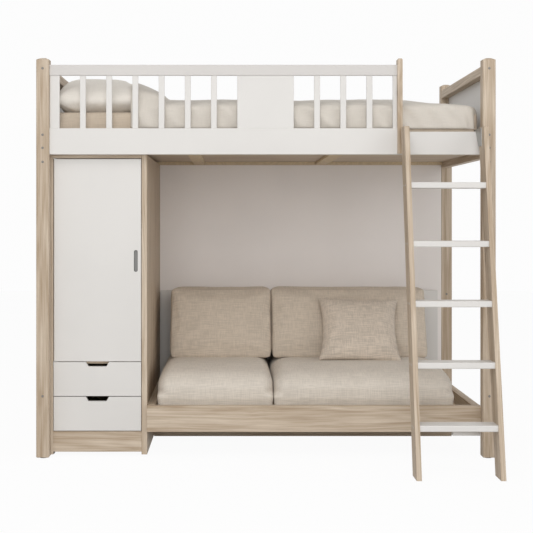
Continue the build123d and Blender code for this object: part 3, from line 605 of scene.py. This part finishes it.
def rounded_loop(low_x, high_x, low_y, high_y, radius, spacing):
    """Points round a rounded rectangle, evenly spaced, as (x, y)."""
    points = []
    corners = (
        (high_x - radius, high_y - radius, 0),
        (low_x + radius, high_y - radius, 90),
        (low_x + radius, low_y + radius, 180),
        (high_x - radius, low_y + radius, 270),
    )
    steps = max(3, round(radius * math.pi / 2 / spacing))
    for index, (centre_x, centre_y, start) in enumerate(corners):
        for step in range(steps + 1):
            angle = math.radians(start + 90 * step / steps)
            points.append((centre_x + radius * math.cos(angle), centre_y + radius * math.sin(angle)))
        next_x, next_y, next_start = corners[(index + 1) % 4]
        angle = math.radians(next_start)
        target = (next_x + radius * math.cos(angle), next_y + radius * math.sin(angle))
        last = points[-1]
        run = math.hypot(target[0] - last[0], target[1] - last[1])
        parts = max(2, round(run / spacing))
        for step in range(1, parts):
            share = step / parts
            points.append((last[0] + (target[0] - last[0]) * share, last[1] + (target[1] - last[1]) * share))
    return points


def on_surface(tree, points, sink):
    """Each point moved to the nearest place on a surface, sunk a little, and the closed path smoothed."""
    path = []
    for point in points:
        nearest, normal, _, _ = tree.find_nearest(Vector(point))
        path.append(nearest - normal * sink)
    smooth = []
    count = len(path)
    for index in range(count):
        smooth.append((path[index - 1] + path[index] * 2 + path[(index + 1) % count]) / 4)
    return smooth


def ripple(point, scale, seed):
    """A soft, repeatable unevenness between -1 and 1."""
    return noise.noise(Vector((point[0] * scale + seed, point[1] * scale, point[2] * scale)))


def puckers(place, edge_distance, seed):
    """The small folds that a seam pulls into cloth, fading away from the seam, from -1 to 1."""
    return ripple(place, 34.0, seed) * math.exp(-edge_distance / (26 * MM))


# Sofa cushions: depth runs from 0 in front to 1 behind, height from 0 at the base to 1 on top, and rises,
# places and thicknesses without a unit are shares of the cushion's box or of its half
CLOTH_OVER_BOX = 5 * MM
SEAT_UPPER_RADII = (46 * MM, 96 * MM, 60 * MM)
SEAT_LOWER_RADII = (24 * MM, 20 * MM, 20 * MM)
SEAT_FRONT_RISE = 0.80
SEAT_CROWN_RISE = 0.19
SEAT_CROWN_DEPTH = 0.30
SEAT_DIP = 0.04
SEAT_DIP_DEPTH = 0.57
SEAT_SIDE_DROP = 0.030
SEAT_SIDE_BULGE = 5 * MM
SEAT_OVERHANG = 22 * MM
PUCKER_HEIGHT = 2.0 * MM

BACK_RADII = (13 * MM, 18 * MM, 13 * MM)
BACK_FRONT_PUFF = 9 * MM
BACK_FRONT_INSET = 6 * MM
BACK_SEAM_INSET = 7 * MM
BACK_FOOT_FRONT, BACK_FOOT_THICKNESS = -1.0, 1.31
BACK_TOP_FRONT, BACK_TOP_THICKNESS = -0.35, 1.34
BACK_BELLY = 0.12
BACK_TOP_RISE = 0.985
BACK_CROWN = 0.03
BACK_TOP_FALL = 0.17


class LOFTBED_OT_seat_cushions(bpy.types.Operator):
    """Make the two crowned seat cushions"""

    bl_idname = "loftbed.seat_cushions"
    bl_label = "Seat cushions"

    def execute(self, context):
        sizes = context.scene.loft_bed_soft
        colour = context.scene.loft_bed_colours.seat_linen
        finish = linen("seat_linen", colour, thread=5.0 * MM, contrast=0.085, depth=0.5 * MM)
        for side, seed in (("left", 3.1), ("right", 8.7)):
            node = f"seat_cushion_{side}"
            low, high, middle, half, places, faces = blocked_out(node, sizes.cushion_cell)
            vertices = [middle + self.shaped(place, half, seed, middle[2]) for place in places]
            piece = new_piece(f"seat_cover_{side}", vertices, faces, finish)
            settle(piece, sizes.seat_puff, sizes.sim_frames, pressure=2.2)

            def uneven(place):
                return (ripple(place, 4.0, seed) * 2.4 + ripple(place, 11.0, seed) * 1.1) * MM

            swell(piece, uneven)
            keep_inside(
                piece,
                (low[0], low[1] - SEAT_OVERHANG, low[2]),
                (high[0], high[1], high[2] + CLOTH_OVER_BOX),
            )
            refine(piece)
            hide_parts(node)
        return {"FINISHED"}

    def shaped(self, place, half, seed, middle_z):
        """A block with big soft upper edges, a crown, and a front that swells over the rail."""
        radii = SEAT_UPPER_RADII if place[2] > 0 else SEAT_LOWER_RADII
        point = softened(place, half, radii)
        depth = (point[1] / half[1] + 1) / 2
        height = (point[2] / half[2] + 1) / 2
        across = abs(point[0]) / half[0]
        to_crown = min(depth / SEAT_CROWN_DEPTH, 1.0)
        rise = SEAT_FRONT_RISE + SEAT_CROWN_RISE * math.sin(to_crown * math.pi / 2)
        rise -= SEAT_DIP * smooth_step(SEAT_CROWN_DEPTH, SEAT_DIP_DEPTH, depth)
        rise -= SEAT_SIDE_DROP * smooth_step(0.80, 1.0, across)
        point[2] = -half[2] + 2 * half[2] * height * rise
        bulge = SEAT_SIDE_BULGE * math.sin(math.pi * min(max(height, 0.0), 1.0))
        point[0] += math.copysign(bulge, point[0]) * smooth_step(0.9, 1.0, across)
        rail = SOFA_RAIL_TOP - middle_z
        over_rail = smooth_step(rail + 1 * MM, rail + 24 * MM, point[2])
        point[1] -= SEAT_OVERHANG * over_rail * height * smooth_step(SEAT_CROWN_DEPTH, 0.0, depth)
        edge = min(half[0] - abs(point[0]), (1 - depth) * 2 * half[1], depth * 2 * half[1])
        point[2] += puckers(point, edge, seed) * PUCKER_HEIGHT
        return point


class LOFTBED_OT_back_cushions(bpy.types.Operator):
    """Make the two back cushions that lean on the board, with a sewn edge round the front"""

    bl_idname = "loftbed.back_cushions"
    bl_label = "Back cushions"

    def execute(self, context):
        sizes = context.scene.loft_bed_soft
        colour = context.scene.loft_bed_colours.back_linen
        finish = linen("back_linen", colour, thread=5.4 * MM, contrast=0.11, depth=0.5 * MM)
        for side, seed in (("left", 21.4), ("right", 27.9)):
            node = f"back_cushion_{side}"
            low, high, middle, half, places, faces = blocked_out(node, sizes.cushion_cell)
            vertices = [middle + self.shaped(place, half, seed) for place in places]
            piece = new_piece(f"back_cover_{side}", vertices, faces, finish)
            settle(piece, sizes.back_puff, sizes.sim_frames, pressure=1.5)

            def uneven(place):
                return (ripple(place, 4.5, seed) * 3.0 + ripple(place, 12.0, seed) * 1.4) * MM

            swell(piece, uneven)
            keep_inside(piece, low, (high[0], high[1], high[2] + CLOTH_OVER_BOX))
            refine(piece)
            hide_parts(node)
            self.sew(piece, side, middle, half, sizes.seam_radius, finish)
        return {"FINISHED"}

    def leaned(self, point, half):
        """Bend an upright block to the cushion's side profile: it leans back and widens at the base."""
        depth = (point[1] / half[1] + 1) / 2
        height = (point[2] / half[2] + 1) / 2
        lower = BACK_FOOT_FRONT + depth * BACK_FOOT_THICKNESS
        upper = BACK_TOP_FRONT + depth * BACK_TOP_THICKNESS
        belly = BACK_BELLY * (1 - (2 * height - 1) ** 2) * (1 - depth)
        y = half[1] * (lower + (upper - lower) * height - belly)
        crown = BACK_CROWN * (1 - (2 * depth - 1) ** 2) * height
        z = half[2] * (-1 + 2 * height * (BACK_TOP_RISE + crown) - BACK_TOP_FALL * height * depth)
        return Vector((point[0], y, z))

    def shaped(self, place, half, seed):
        """An upright block with a puffed and puckered front, bent to the side profile."""
        point = softened(place, half, BACK_RADII)
        across = abs(point[0]) / half[0]
        height = (point[2] / half[2] + 1) / 2
        edge = min(half[0] - abs(point[0]), half[2] - abs(point[2]))
        puff = BACK_FRONT_PUFF * (1 - across**4) * (1 - (2 * height - 1) ** 4)
        front = smooth_step(0.0, -1.0, point[1] / half[1])
        point[1] -= (puff + puckers(point, edge, seed) * PUCKER_HEIGHT - BACK_FRONT_INSET) * front
        return self.leaned(point, half)

    def sew(self, piece, side, middle, half, radius, finish):
        """The sewn edge round the front panel, sunk a little into the cloth."""
        tree = surface_of(piece)
        loop = rounded_loop(-half[0], half[0], -half[2], half[2], radius=BACK_RADII[0], spacing=9 * MM)
        front = -half[1] + BACK_SEAM_INSET
        points = [middle + self.leaned(Vector((x, front, z)), half) for x, z in loop]
        path = on_surface(tree, points, 0.6 * radius)
        seam = tube(f"back_seam_{side}", path, radius, finish)


# Pillows
def pillow_shell(width, length, rise, pinch_x, pinch_y, columns):
    """A knife-edged pillow about the origin: drawn-in sides, pointed corners, a crown on both sides."""
    squareness, fullness = 2.6, 0.52
    rows = max(4, round(columns * length / width))
    index_of = {}
    vertices = []
    faces = []

    def corner(face, row, column):
        """The number of a vertex on the upper face, 1, or the lower, -1, which share those on the seam."""
        edge = row in (0, rows) or column in (0, columns)
        key = (0 if edge else face, row, column)
        if key not in index_of:
            u = 2 * column / columns - 1
            v = 2 * row / rows - 1
            x = u * (width / 2 - pinch_x * (1 - v * v))
            y = v * (length / 2 - pinch_y * (1 - u * u))
            fall = max(0.0, (1 - abs(u) ** squareness) * (1 - abs(v) ** squareness)) ** fullness
            index_of[key] = len(vertices)
            vertices.append(Vector((x, y, 0.0 if edge else face * rise * fall)))
        return index_of[key]

    for face in (1, -1):
        for row in range(rows):
            for column in range(columns):
                steps = ((0, 0), (0, 1), (1, 1), (1, 0))
                ring = [corner(face, row + down, column + right) for down, right in steps]
                faces.append(ring if face > 0 else ring[::-1])
    return vertices, faces


def crease(x, y, width, length, seed):
    """Creases that run in from a pillow's four corners; the folds of all four are added up."""
    folds_round_corner = 11
    reach = 0.30 * width
    clear = 0.12 * width
    total = 0.0
    for corner_x in (-width / 2, width / 2):
        for corner_y in (-length / 2, length / 2):
            far = math.hypot(x - corner_x, y - corner_y)
            angle = math.atan2(y - corner_y, x - corner_x)
            wave = math.sin(angle * folds_round_corner + seed + corner_x * 9 + corner_y * 5)
            total += wave * math.exp(-((far / reach) ** 2)) * smooth_step(0.0, clear, far)
    return total


class LOFTBED_OT_throw_pillow(bpy.types.Operator):
    """Make the square throw pillow that leans on the back cushion"""

    bl_idname = "loftbed.throw_pillow"
    bl_label = "Throw pillow"

    def execute(self, context):
        sizes = context.scene.loft_bed_soft
        colour = context.scene.loft_bed_colours.throw_linen
        finish = linen("throw_linen", colour, thread=6.5 * MM, contrast=0.15, depth=0.9 * MM)
        width, length, rise = 415 * MM, 384 * MM, 50 * MM
        side_pinch, end_pinch = 22 * MM, 8 * MM
        full_fold_height = 18 * MM
        turn = math.radians(-2.0)
        vertices, faces = pillow_shell(width, length, rise, side_pinch, end_pinch, 46)
        piece = new_piece("throw_pillow_cover", vertices, faces, finish)
        settle(piece, sizes.pillow_puff, sizes.sim_frames, pressure=4.0, stiffness=10.0, bending=0.25)
        for vertex in piece.data.vertices:
            x, y, z = vertex.co
            fold = crease(x, y, width, length, 1.3 if z > 0 else 4.1)
            fold = fold * 3.0 + ripple(vertex.co, 14.0, 5.0) * 2.0
            vertex.co.z += math.copysign(fold * MM, z) * min(abs(z) / full_fold_height, 1.0)
        refine(piece)
        lean = Matrix.Rotation(math.radians(90) - sizes.throw_lean, 4, "X") @ Matrix.Rotation(turn, 4, "Z")
        low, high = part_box("throw_pillow")
        middle = (Vector(low) + Vector(high)) / 2
        piece.data.transform(Matrix.Translation(middle) @ lean)
        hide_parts("throw_pillow")
        return {"FINISHED"}


# Bedding
class LOFTBED_OT_mattress(bpy.types.Operator):
    """Make the mattress with its taped edges"""

    bl_idname = "loftbed.mattress"
    bl_label = "Mattress"

    def execute(self, context):
        colour = context.scene.loft_bed_colours.mattress_tick
        finish = linen("mattress_tick", colour, thread=1.9 * MM, contrast=0.07, depth=0.5 * MM)
        low, high, middle, half, places, faces = blocked_out("mattress", 16 * MM)
        radii = (26 * MM, 26 * MM, 22 * MM)
        vertices = [middle + softened(place, half, radii) for place in places]
        piece = new_piece("mattress_cover", vertices, faces, finish)
        swell(piece, lambda place: (ripple(place, 6.0, 2.0) - 0.6) * 1.4 * MM)
        refine(piece)
        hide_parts("mattress")
        tree = surface_of(piece)
        tape_inset, tape_radius, tape_sink = 9 * MM, 2.6 * MM, 1.4 * MM
        loop = rounded_loop(low[0], high[0], low[1], high[1], radius=20 * MM, spacing=14 * MM)
        for level, height in (("top", high[2] - tape_inset), ("bottom", low[2] + tape_inset)):
            path = on_surface(tree, [(x, y, height) for x, y in loop], tape_sink)
            tape = tube(f"mattress_tape_{level}", path, tape_radius, finish)
        return {"FINISHED"}


def pillow_fullness(x, y):
    """How full the bed pillow is at a place, from 0 to 1; the duvet presses its right half down."""
    low, high = PILLOW_BOX
    u = (2 * x - low[0] - high[0]) / (high[0] - low[0])
    v = (2 * y - low[1] - high[1]) / (high[1] - low[1])
    if abs(u) >= 1 or abs(v) >= 1:
        return 0.0
    plump = (1 - abs(u) ** 6) ** 0.38
    pressed = (1 - abs(u) ** 1.3) ** 0.6
    return (plump if u < 0 else pressed) * (1 - abs(v) ** 3.2) ** 0.6


def pillow_top(x, y):
    """Height of the bed pillow's upper side at a place."""
    seam = PILLOW_BOX[0][2] + PILLOW_SEAM
    return seam + (PILLOW_BOX[1][2] - seam) * pillow_fullness(x, y)


class LOFTBED_OT_bed_pillow(bpy.types.Operator):
    """Make the bed pillow at the left end of the mattress"""

    bl_idname = "loftbed.bed_pillow"
    bl_label = "Bed pillow"

    def execute(self, context):
        sizes = context.scene.loft_bed_soft
        colour = context.scene.loft_bed_colours.bed_cotton
        finish = linen("bed_cotton", colour, thread=1.2 * MM, contrast=0.05, depth=0.3 * MM)
        low, high = PILLOW_BOX
        width, length = high[0] - low[0], high[1] - low[1]
        middle_x, middle_y = (low[0] + high[0]) / 2, (low[1] + high[1]) / 2
        seam = low[2] + PILLOW_SEAM
        flat_below, end_pinch = 1.35, 0.03
        vertices, faces = pillow_shell(width, length, 1.0, 0.0, 0.0, 44)
        places = []
        for x, y, side in vertices:
            x += middle_x
            y += middle_y
            z = seam
            if side > 0:
                z = pillow_top(x, y)
            elif side < 0:
                z = seam - PILLOW_SEAM * min(1.0, flat_below * pillow_fullness(x, y))
            drawn = 1 - end_pinch * (1 - abs(x - middle_x) / width * 2)
            places.append(Vector((x, middle_y + (y - middle_y) * drawn, z)))
        piece = new_piece("bed_pillow_cover", places, faces, finish)
        settle(piece, sizes.pillow_puff, sizes.sim_frames, pressure=1.4, stiffness=10.0, bending=0.3)

        def folded(place):
            fold = crease(place[0] - middle_x, place[1] - middle_y, width, length, 0.4) * 3.0
            return (fold + ripple(place, 7.0, 11.0) * 5.0) * MM

        swell(piece, folded)
        under_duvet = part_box("duvet")[0][0] - 30 * MM
        for vertex in piece.data.vertices:
            vertex.co.z = max(vertex.co.z, low[2])
            if vertex.co.x > under_duvet:
                vertex.co.z = min(vertex.co.z, pillow_top(vertex.co.x, vertex.co.y) + 2 * MM)
        refine(piece)
        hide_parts("bed_pillow")
        return {"FINISHED"}


class Quilt:
    """The duvet's quilt: where each point lies, given its place when the quilt is spread flat.

    The flat top is taken to run on past the left end, so it turns down only at the sides and the foot.
    """

    past_left_end = 1.0
    shoulder = 34 * MM
    corner = 30 * MM
    hem_wall = 11 * MM
    edge_rise = 32 * MM
    edge_roll = 8 * MM
    foot_drop = 12 * MM
    crown_rise = 64 * MM
    foot_flattening = 0.55
    over_pillow = 3 * MM
    layer = 13 * MM
    blend = 60 * MM
    folds_turn = 60
    fold_depth = 13 * MM
    thinnest = 2 * MM

    def __init__(self, low, high):
        self.high = high
        self.hem = low[2]
        self.rest = MATTRESS_TOP + 0.5 * MM
        self.middle_x = (low[0] - self.past_left_end + high[0] - self.shoulder) / 2
        self.middle_y = (low[1] + high[1]) / 2
        self.half_x = high[0] - self.shoulder - self.middle_x - self.corner
        self.half_y = high[1] - self.shoulder - self.middle_y - self.corner
        self.quarter = self.shoulder * math.pi / 2
        self.hang = self.rest + self.edge_rise - self.hem - self.shoulder
        self.left = low[0]
        self.length = high[0] - self.shoulder + self.quarter + self.hang - low[0]
        self.width = 2 * (high[1] - self.shoulder - self.middle_y + self.quarter + self.hang)

    def past_edge(self, x, y):
        """The way out from the flat top, and how far past its edge a place is, less than 0 inside."""
        gap_x = abs(x - self.middle_x) - self.half_x
        gap_y = abs(y - self.middle_y) - self.half_y
        way = Vector((max(gap_x, 0.0), max(gap_y, 0.0), 0.0))
        outside = way.length + min(max(gap_x, gap_y), 0.0) - self.corner
        way.x = math.copysign(way.x, x - self.middle_x)
        way.y = math.copysign(way.y, y - self.middle_y)
        if way.length > 0:
            way.normalize()
        return way, outside

    def covered(self, x, y):
        """Height of what the quilt lies on: the mattress or the end of the pillow."""
        return pillow_top(x, y) + self.over_pillow if pillow_fullness(x, y) > 0 else self.rest

    def top(self, x, y, crown):
        """Height of the quilt's upper side, given the rise of its crown there."""
        to_foot = smooth_step(0.80, 0.95, min(x, self.high[0]))
        edge = self.edge_rise - self.edge_roll - self.foot_drop * to_foot
        flat = (x, y, 0)
        soft = ripple(flat, 3.2, 4.0) * 6 + ripple(flat, 8.0, 9.0) * 3 + ripple(flat, 18.0, 2.0)
        padding = self.rest + edge + crown + soft * MM
        return soft_max(padding, self.covered(x, y) + self.layer, self.blend)

    def crown(self, x, y):
        """Rise of the crown: nothing at the long sides, and less towards the foot."""
        across = min(abs(y - self.middle_y) / (self.high[1] - self.middle_y), 1.0)
        to_foot = smooth_step(0.60, 0.95, min(x, self.high[0]))
        return self.crown_rise * (1 - across**2.2) * (1 - self.foot_flattening * to_foot)

    def fold(self, x, y, outside):
        """How far an upright fold stands out from the hanging side."""
        wave = math.sin((x + y) * self.folds_turn + ripple((x, y * 0.3, 0), 2.5, 5.0) * 6)
        deep = max(0.65 + ripple((x, y, 0), 6.0, 31.0), 0.1)
        return (0.5 + 0.5 * wave) * deep * self.fold_depth * smooth_step(-10 * MM, 55 * MM, outside)

    def drape(self, x, y):
        """The outer and inner place of one point of the quilt."""
        way, outside = self.past_edge(x, y)
        cover = self.covered(x, y)
        if outside <= 0:
            return Vector((x, y, self.top(x, y, self.crown(x, y)))), Vector((x, y, cover))
        base = Vector((x, y, 0.0)) - way * outside
        angle = min(outside, self.quarter) / self.shoulder
        reach = self.shoulder * math.sin(angle)
        drop = self.shoulder * (1 - math.cos(angle))
        hanging = max(outside - self.quarter, 0.0) / self.hang
        over = base + way * (reach + self.fold(x, y, outside))
        turned = self.top(x, y, 0.0) - drop + self.edge_roll * smooth_step(0.0, self.quarter, outside)
        over.z = turned + (self.hem - turned) * min(hanging, 1.0)
        inner_reach = self.shoulder - self.hem_wall
        under = base + way * min(reach, inner_reach)
        under.z = over.z
        if reach < inner_reach:
            under.z = max(min(cover, over.z - self.thinnest), self.hem)
        return over, under


class LOFTBED_OT_duvet(bpy.types.Operator):
    """Make the duvet that hangs over the sides and the foot and lies over the end of the pillow"""

    bl_idname = "loftbed.duvet"
    bl_label = "Duvet"

    def execute(self, context):
        colour = context.scene.loft_bed_colours.duvet_cotton
        finish = linen("duvet_cotton", colour, thread=1.2 * MM, contrast=0.05, depth=0.3 * MM)
        quilt = Quilt(*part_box("duvet"))
        cell = 14 * MM
        columns = round(quilt.length / cell)
        rows = round(quilt.width / cell)
        pairs = []
        for row in range(rows + 1):
            for column in range(columns + 1):
                flat_x = quilt.left + quilt.length * column / columns
                flat_y = quilt.middle_y + quilt.width * (row / rows - 0.5)
                pairs.append(quilt.drape(flat_x, flat_y))
        vertices = [outer for outer, inner in pairs] + [inner for outer, inner in pairs]
        faces = self.shell(rows, columns, len(pairs))
        piece = new_piece("duvet_cover", vertices, faces, finish)
        refine(piece)
        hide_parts("duvet")
        return {"FINISHED"}

    def shell(self, rows, columns, count):
        """The faces of the outer side, of the inner side, and of the border that joins them."""
        stride = columns + 1
        faces = []
        for row in range(rows):
            for column in range(columns):
                first = row * stride + column
                ring = (first, first + 1, first + stride + 1, first + stride)
                faces.append(ring)
                faces.append(tuple(count + index for index in reversed(ring)))
        border = list(range(columns))
        border += [row * stride + columns for row in range(rows)]
        border += [rows * stride + column for column in range(columns, 0, -1)]
        border += [row * stride for row in range(rows, 0, -1)]
        for index, start in enumerate(border):
            end = border[(index + 1) % len(border)]
            faces.append((start, count + start, count + end, end))
        return faces


# Fasteners of the ladder
class LOFTBED_OT_ladder_screws(bpy.types.Operator):
    """Make the screw heads that hold each tread, on the outside of both ladder rails"""

    bl_idname = "loftbed.ladder_screws"
    bl_label = "Ladder screws"

    def execute(self, context):
        finish = bpy.data.materials["cap_grey"]
        treads = [vertex.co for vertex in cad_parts["ladder_treads"].data.vertices]
        thickest = 60 * MM
        levels = []
        for height in sorted({round(place.z, 3) for place in treads}):
            if not levels or height - levels[-1][0] > thickest:
                levels.append([height, height])
            else:
                levels[-1][1] = height
        for side, outward in (("left", -1), ("right", 1)):
            low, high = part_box(f"ladder_rail_{side}")
            face_x = low[0] if side == "left" else high[0]
            for number, (bottom, top) in enumerate(levels, 1):
                depths = [place.y for place in treads if bottom - MM <= place.z <= top + MM]
                for name, share in (("front", 0.27), ("rear", 0.73)):
                    y = min(depths) + (max(depths) - min(depths)) * share
                    centre = Vector((face_x, y, (bottom + top) / 2))
                    self.screw(f"ladder_screw_{side}_{name}_{number}", centre, outward, finish)
        return {"FINISHED"}

    def screw(self, name, centre, outward, finish):
        """A shallow domed head with a hexagon recess; the last ring is the recess's floor."""
        sides = 24
        rings = ((3.9, -0.6), (3.9, 0.2), (3.4, 0.8), (2.5, 1.15), (1.7, 1.2), (1.55, 0.3))
        sixth, twelfth = math.radians(60), math.radians(30)
        vertices = []
        for number, (radius, rise) in enumerate(rings, 1):
            for turn in range(sides):
                angle = turn / sides * 2 * math.pi
                shown = radius
                if number == len(rings):
                    shown *= math.cos(twelfth) / math.cos(angle % sixth - twelfth)
                place = Vector((outward * rise, math.cos(angle) * shown, math.sin(angle) * shown)) * MM
                vertices.append(centre + place)
        faces = []
        for ring in range(len(rings) - 1):
            faces += ring_faces(ring * sides, (ring + 1) * sides, sides, outward < 0)
        recess = [(len(rings) - 1) * sides + turn for turn in range(sides)]
        bottom = list(range(sides))
        faces.append(recess if outward > 0 else recess[::-1])
        faces.append(bottom[::-1] if outward > 0 else bottom)
        new_piece(name, vertices, faces, finish, smooth=False)


# Finishes of the CAD pieces
class LOFTBED_OT_oak_pieces(bpy.types.Operator):
    """Give the oak pieces their grain"""

    bl_idname = "loftbed.oak_pieces"
    bl_label = "Oak pieces"

    def execute(self, context):
        colours = context.scene.loft_bed_colours
        dress(
            oak("upright", colours),
            "post_front_left", "post_front_right", "post_back_left", "post_back_right",
            "guard_entry_post", "wardrobe_side_left", "wardrobe_side_right",
        )
        dress(
            oak("lengthwise", colours),
            "side_rail_back", "deck_panels", "wardrobe_top", "wardrobe_bottom", "wardrobe_shelves",
            "wardrobe_plinth", "sofa_rail_front", "sofa_rail_back", "sofa_centre_support",
        )
        dress(
            oak("crosswise", colours),
            "end_bottom_rail_left", "end_bottom_rail_right", "end_top_rail_left", "end_top_rail_right",
            "sofa_rails_ends",
        )
        dress(oak("leaning", colours), "ladder_rail_left", "ladder_rail_right")
        dress(
            softwood(colours),
            "deck_supports", "lower_drawer_box", "upper_drawer_box", "sofa_ledgers", "sofa_slats",
        )
        return {"FINISHED"}


class LOFTBED_OT_white_pieces(bpy.types.Operator):
    """Give the white boards their lacquer"""

    bl_idname = "loftbed.white_pieces"
    bl_label = "White pieces"

    def execute(self, context):
        colours = context.scene.loft_bed_colours
        dress(
            lacquer("white_lacquer", colours.white_board),
            "side_rail_front", "end_panels", "guard_bottom_board", "guard_slats", "guard_centre_panel",
            "wardrobe_door", "lower_drawer_front", "upper_drawer_front",
            "sofa_back_board", "sofa_corner_block", "ladder_treads",
        )
        dress(lacquer("rail_lacquer", colours.white_rail), "guard_top_rail")
        # The back panel and the wardrobe's back take the back board's lighter white, painted light for the
        # shaded niche
        dress(lacquer("back_lacquer_painted_light", colours.back_board), "back_panel", "wardrobe_back")
        return {"FINISHED"}


class LOFTBED_OT_fittings(bpy.types.Operator):
    """Give the metal and plastic fittings their finish"""

    bl_idname = "loftbed.fittings"
    bl_label = "Fittings"

    def execute(self, context):
        colours = context.scene.loft_bed_colours
        dress(
            metal("plated_steel", colours.steel, (40.0, 900.0, 40.0), 0.42),
            "hanging_rail", "door_pivot_brackets", "ladder_hooks",
            "lower_drawer_runners", "upper_drawer_runners", "wardrobe_runners",
        )
        dress(metal("grip_metal", colours.grip_grey, (900.0, 900.0, 30.0), 0.5), "door_pull")
        dress(moulded("cap_grey", colours.cap_grey, 0.5), "bolt_caps", "door_pivot_bushes")
        dress(moulded("glide_black", colours.glide_black, 0.6), "floor_glides")
        return {"FINISHED"}


# Floor, light and camera
WHITE = (1, 1, 1, 1)


def seen_directly(finish):
    """1 to rays from the camera and to those that gloss or glass sends on, 0 to every other ray."""
    names = ("Is Camera Ray", "Is Glossy Ray", "Is Transmission Ray")
    camera, glossy, transmission = [finish.node("ShaderNodeLightPath", output=name) for name in names]
    return camera.math("MAXIMUM", glossy.math("MAXIMUM", transmission))


class LOFTBED_OT_stage(bpy.types.Operator):
    """Set up the floor, the light and the camera"""

    bl_idname = "loftbed.stage"
    bl_label = "Stage"

    def execute(self, context):
        stage = context.scene.loft_bed_stage
        self.floor(stage)
        self.sky(context.scene, stage)
        lamps = (
            {"name": "key_light", "place": (-1.2, -4.8, 5.6), "target": (0.0, 0.0, 0.8), "side": 3.8},
            {"name": "fill_light", "place": (4.6, -4.6, 2.6), "target": (0.0, 0.2, 0.9), "side": 3.0},
            {"name": "low_light", "place": (0.1, -8.2, 2.6), "target": (0.0, 0.3, 0.8), "side": 4.4},
        )
        for lamp, power in zip(lamps, (stage.key_power, stage.fill_power, stage.low_power)):
            self.lamp(**lamp, power=power)
        self.camera(context.scene, stage)
        context.scene.view_settings.view_transform = "Standard"
        return {"FINISHED"}

    def floor(self, stage):
        """A pale floor that keeps the bed's shadow, and shows nearly white."""
        half = stage.floor_side / 2
        corners = [(-half, -half, 0), (half, -half, 0), (half, half, 0), (-half, half, 0)]
        mesh = bpy.data.meshes.new("floor")
        mesh.from_pydata(corners, [], [(0, 1, 2, 3)])
        floor = bpy.data.objects.new("floor", mesh)
        bpy.context.scene.collection.objects.link(floor)
        finish = Finish("floor_white")
        matt = finish.node("ShaderNodeBsdfDiffuse", (), {"Color": (0.80, 0.80, 0.80, 1)})
        white = finish.node("ShaderNodeEmission", (), {"Color": WHITE, "Strength": 1.0})
        share = seen_directly(finish) * 0.95
        mix = finish.node("ShaderNodeMixShader", (), {0: share, 1: matt, 2: white})
        mesh.materials.append(finish.close(mix))

    def sky(self, scene, stage):
        """A world that lights evenly, and shows nearly white."""
        finish = Finish("studio", "worlds")
        lit = finish.node("ShaderNodeBackground", (), {"Color": WHITE, "Strength": stage.sky_strength})
        shown = finish.node("ShaderNodeBackground", (), {"Color": WHITE, "Strength": 0.98})
        mix = finish.node("ShaderNodeMixShader", (), {0: seen_directly(finish), 1: lit, 2: shown})
        scene.world = finish.close(mix, "ShaderNodeOutputWorld")

    def lamp(self, name, place, target, side, power):
        """A square area lamp at a place, turned to a target."""
        light = bpy.data.lights.new(name, "AREA")
        light.shape = "SQUARE"
        light.size = side
        light.energy = power
        lamp = bpy.data.objects.new(name, light)
        lamp.location = place
        lamp.rotation_euler = (Vector(target) - Vector(place)).to_track_quat("-Z", "Y").to_euler()
        bpy.context.scene.collection.objects.link(lamp)

    def camera(self, scene, stage):
        """A level camera in front of the bed, with the photograph's view."""
        lens = bpy.data.cameras.new("photo_camera")
        lens.sensor_width = 36.0
        lens.lens = stage.focal_length
        lens.shift_x = stage.shift_right
        lens.shift_y = stage.shift_up
        camera = bpy.data.objects.new("photo_camera", lens)
        camera.location = (stage.camera_side, POST_FRONT - stage.camera_distance, stage.camera_height)
        camera.rotation_euler = (math.radians(90), 0, 0)
        scene.collection.objects.link(camera)
        scene.camera = camera


PIECES = (
    LOFTBED_OT_stage,
    LOFTBED_OT_oak_pieces,
    LOFTBED_OT_white_pieces,
    LOFTBED_OT_fittings,
    LOFTBED_OT_ladder_screws,
    LOFTBED_OT_seat_cushions,
    LOFTBED_OT_back_cushions,
    LOFTBED_OT_throw_pillow,
    LOFTBED_OT_mattress,
    LOFTBED_OT_bed_pillow,
    LOFTBED_OT_duvet,
)


class LOFTBED_PT_panel(bpy.types.Panel):
    """Sizes, colours and one button for each group of pieces"""

    bl_idname = "LOFTBED_PT_panel"
    bl_label = "Loft Bed"
    bl_space_type = "VIEW_3D"
    bl_region_type = "UI"
    bl_category = "Loft Bed"

    def draw(self, context):
        for group in ("loft_bed_colours", "loft_bed_soft", "loft_bed_stage"):
            values = getattr(context.scene, group)
            box = self.layout.box()
            for key in values.__annotations__:
                box.prop(values, key)
        for piece in PIECES:
            self.layout.operator(piece.bl_idname)


GROUPS = {
    "loft_bed_colours": LoftBedColours,
    "loft_bed_soft": LoftBedSoftSizes,
    "loft_bed_stage": LoftBedStage,
}


def register():
    for made in (*GROUPS.values(), *PIECES, LOFTBED_PT_panel):
        bpy.utils.register_class(made)
    for name, group in GROUPS.items():
        setattr(bpy.types.Scene, name, PointerProperty(type=group))


def unregister():
    for name in GROUPS:
        delattr(bpy.types.Scene, name)
    for made in reversed((*GROUPS.values(), *PIECES, LOFTBED_PT_panel)):
        bpy.utils.unregister_class(made)


def main():
    register()
    for piece in PIECES:
        family, name = piece.bl_idname.split(".")
        getattr(getattr(bpy.ops, family), name)()


if __name__ == "__main__":
    main()
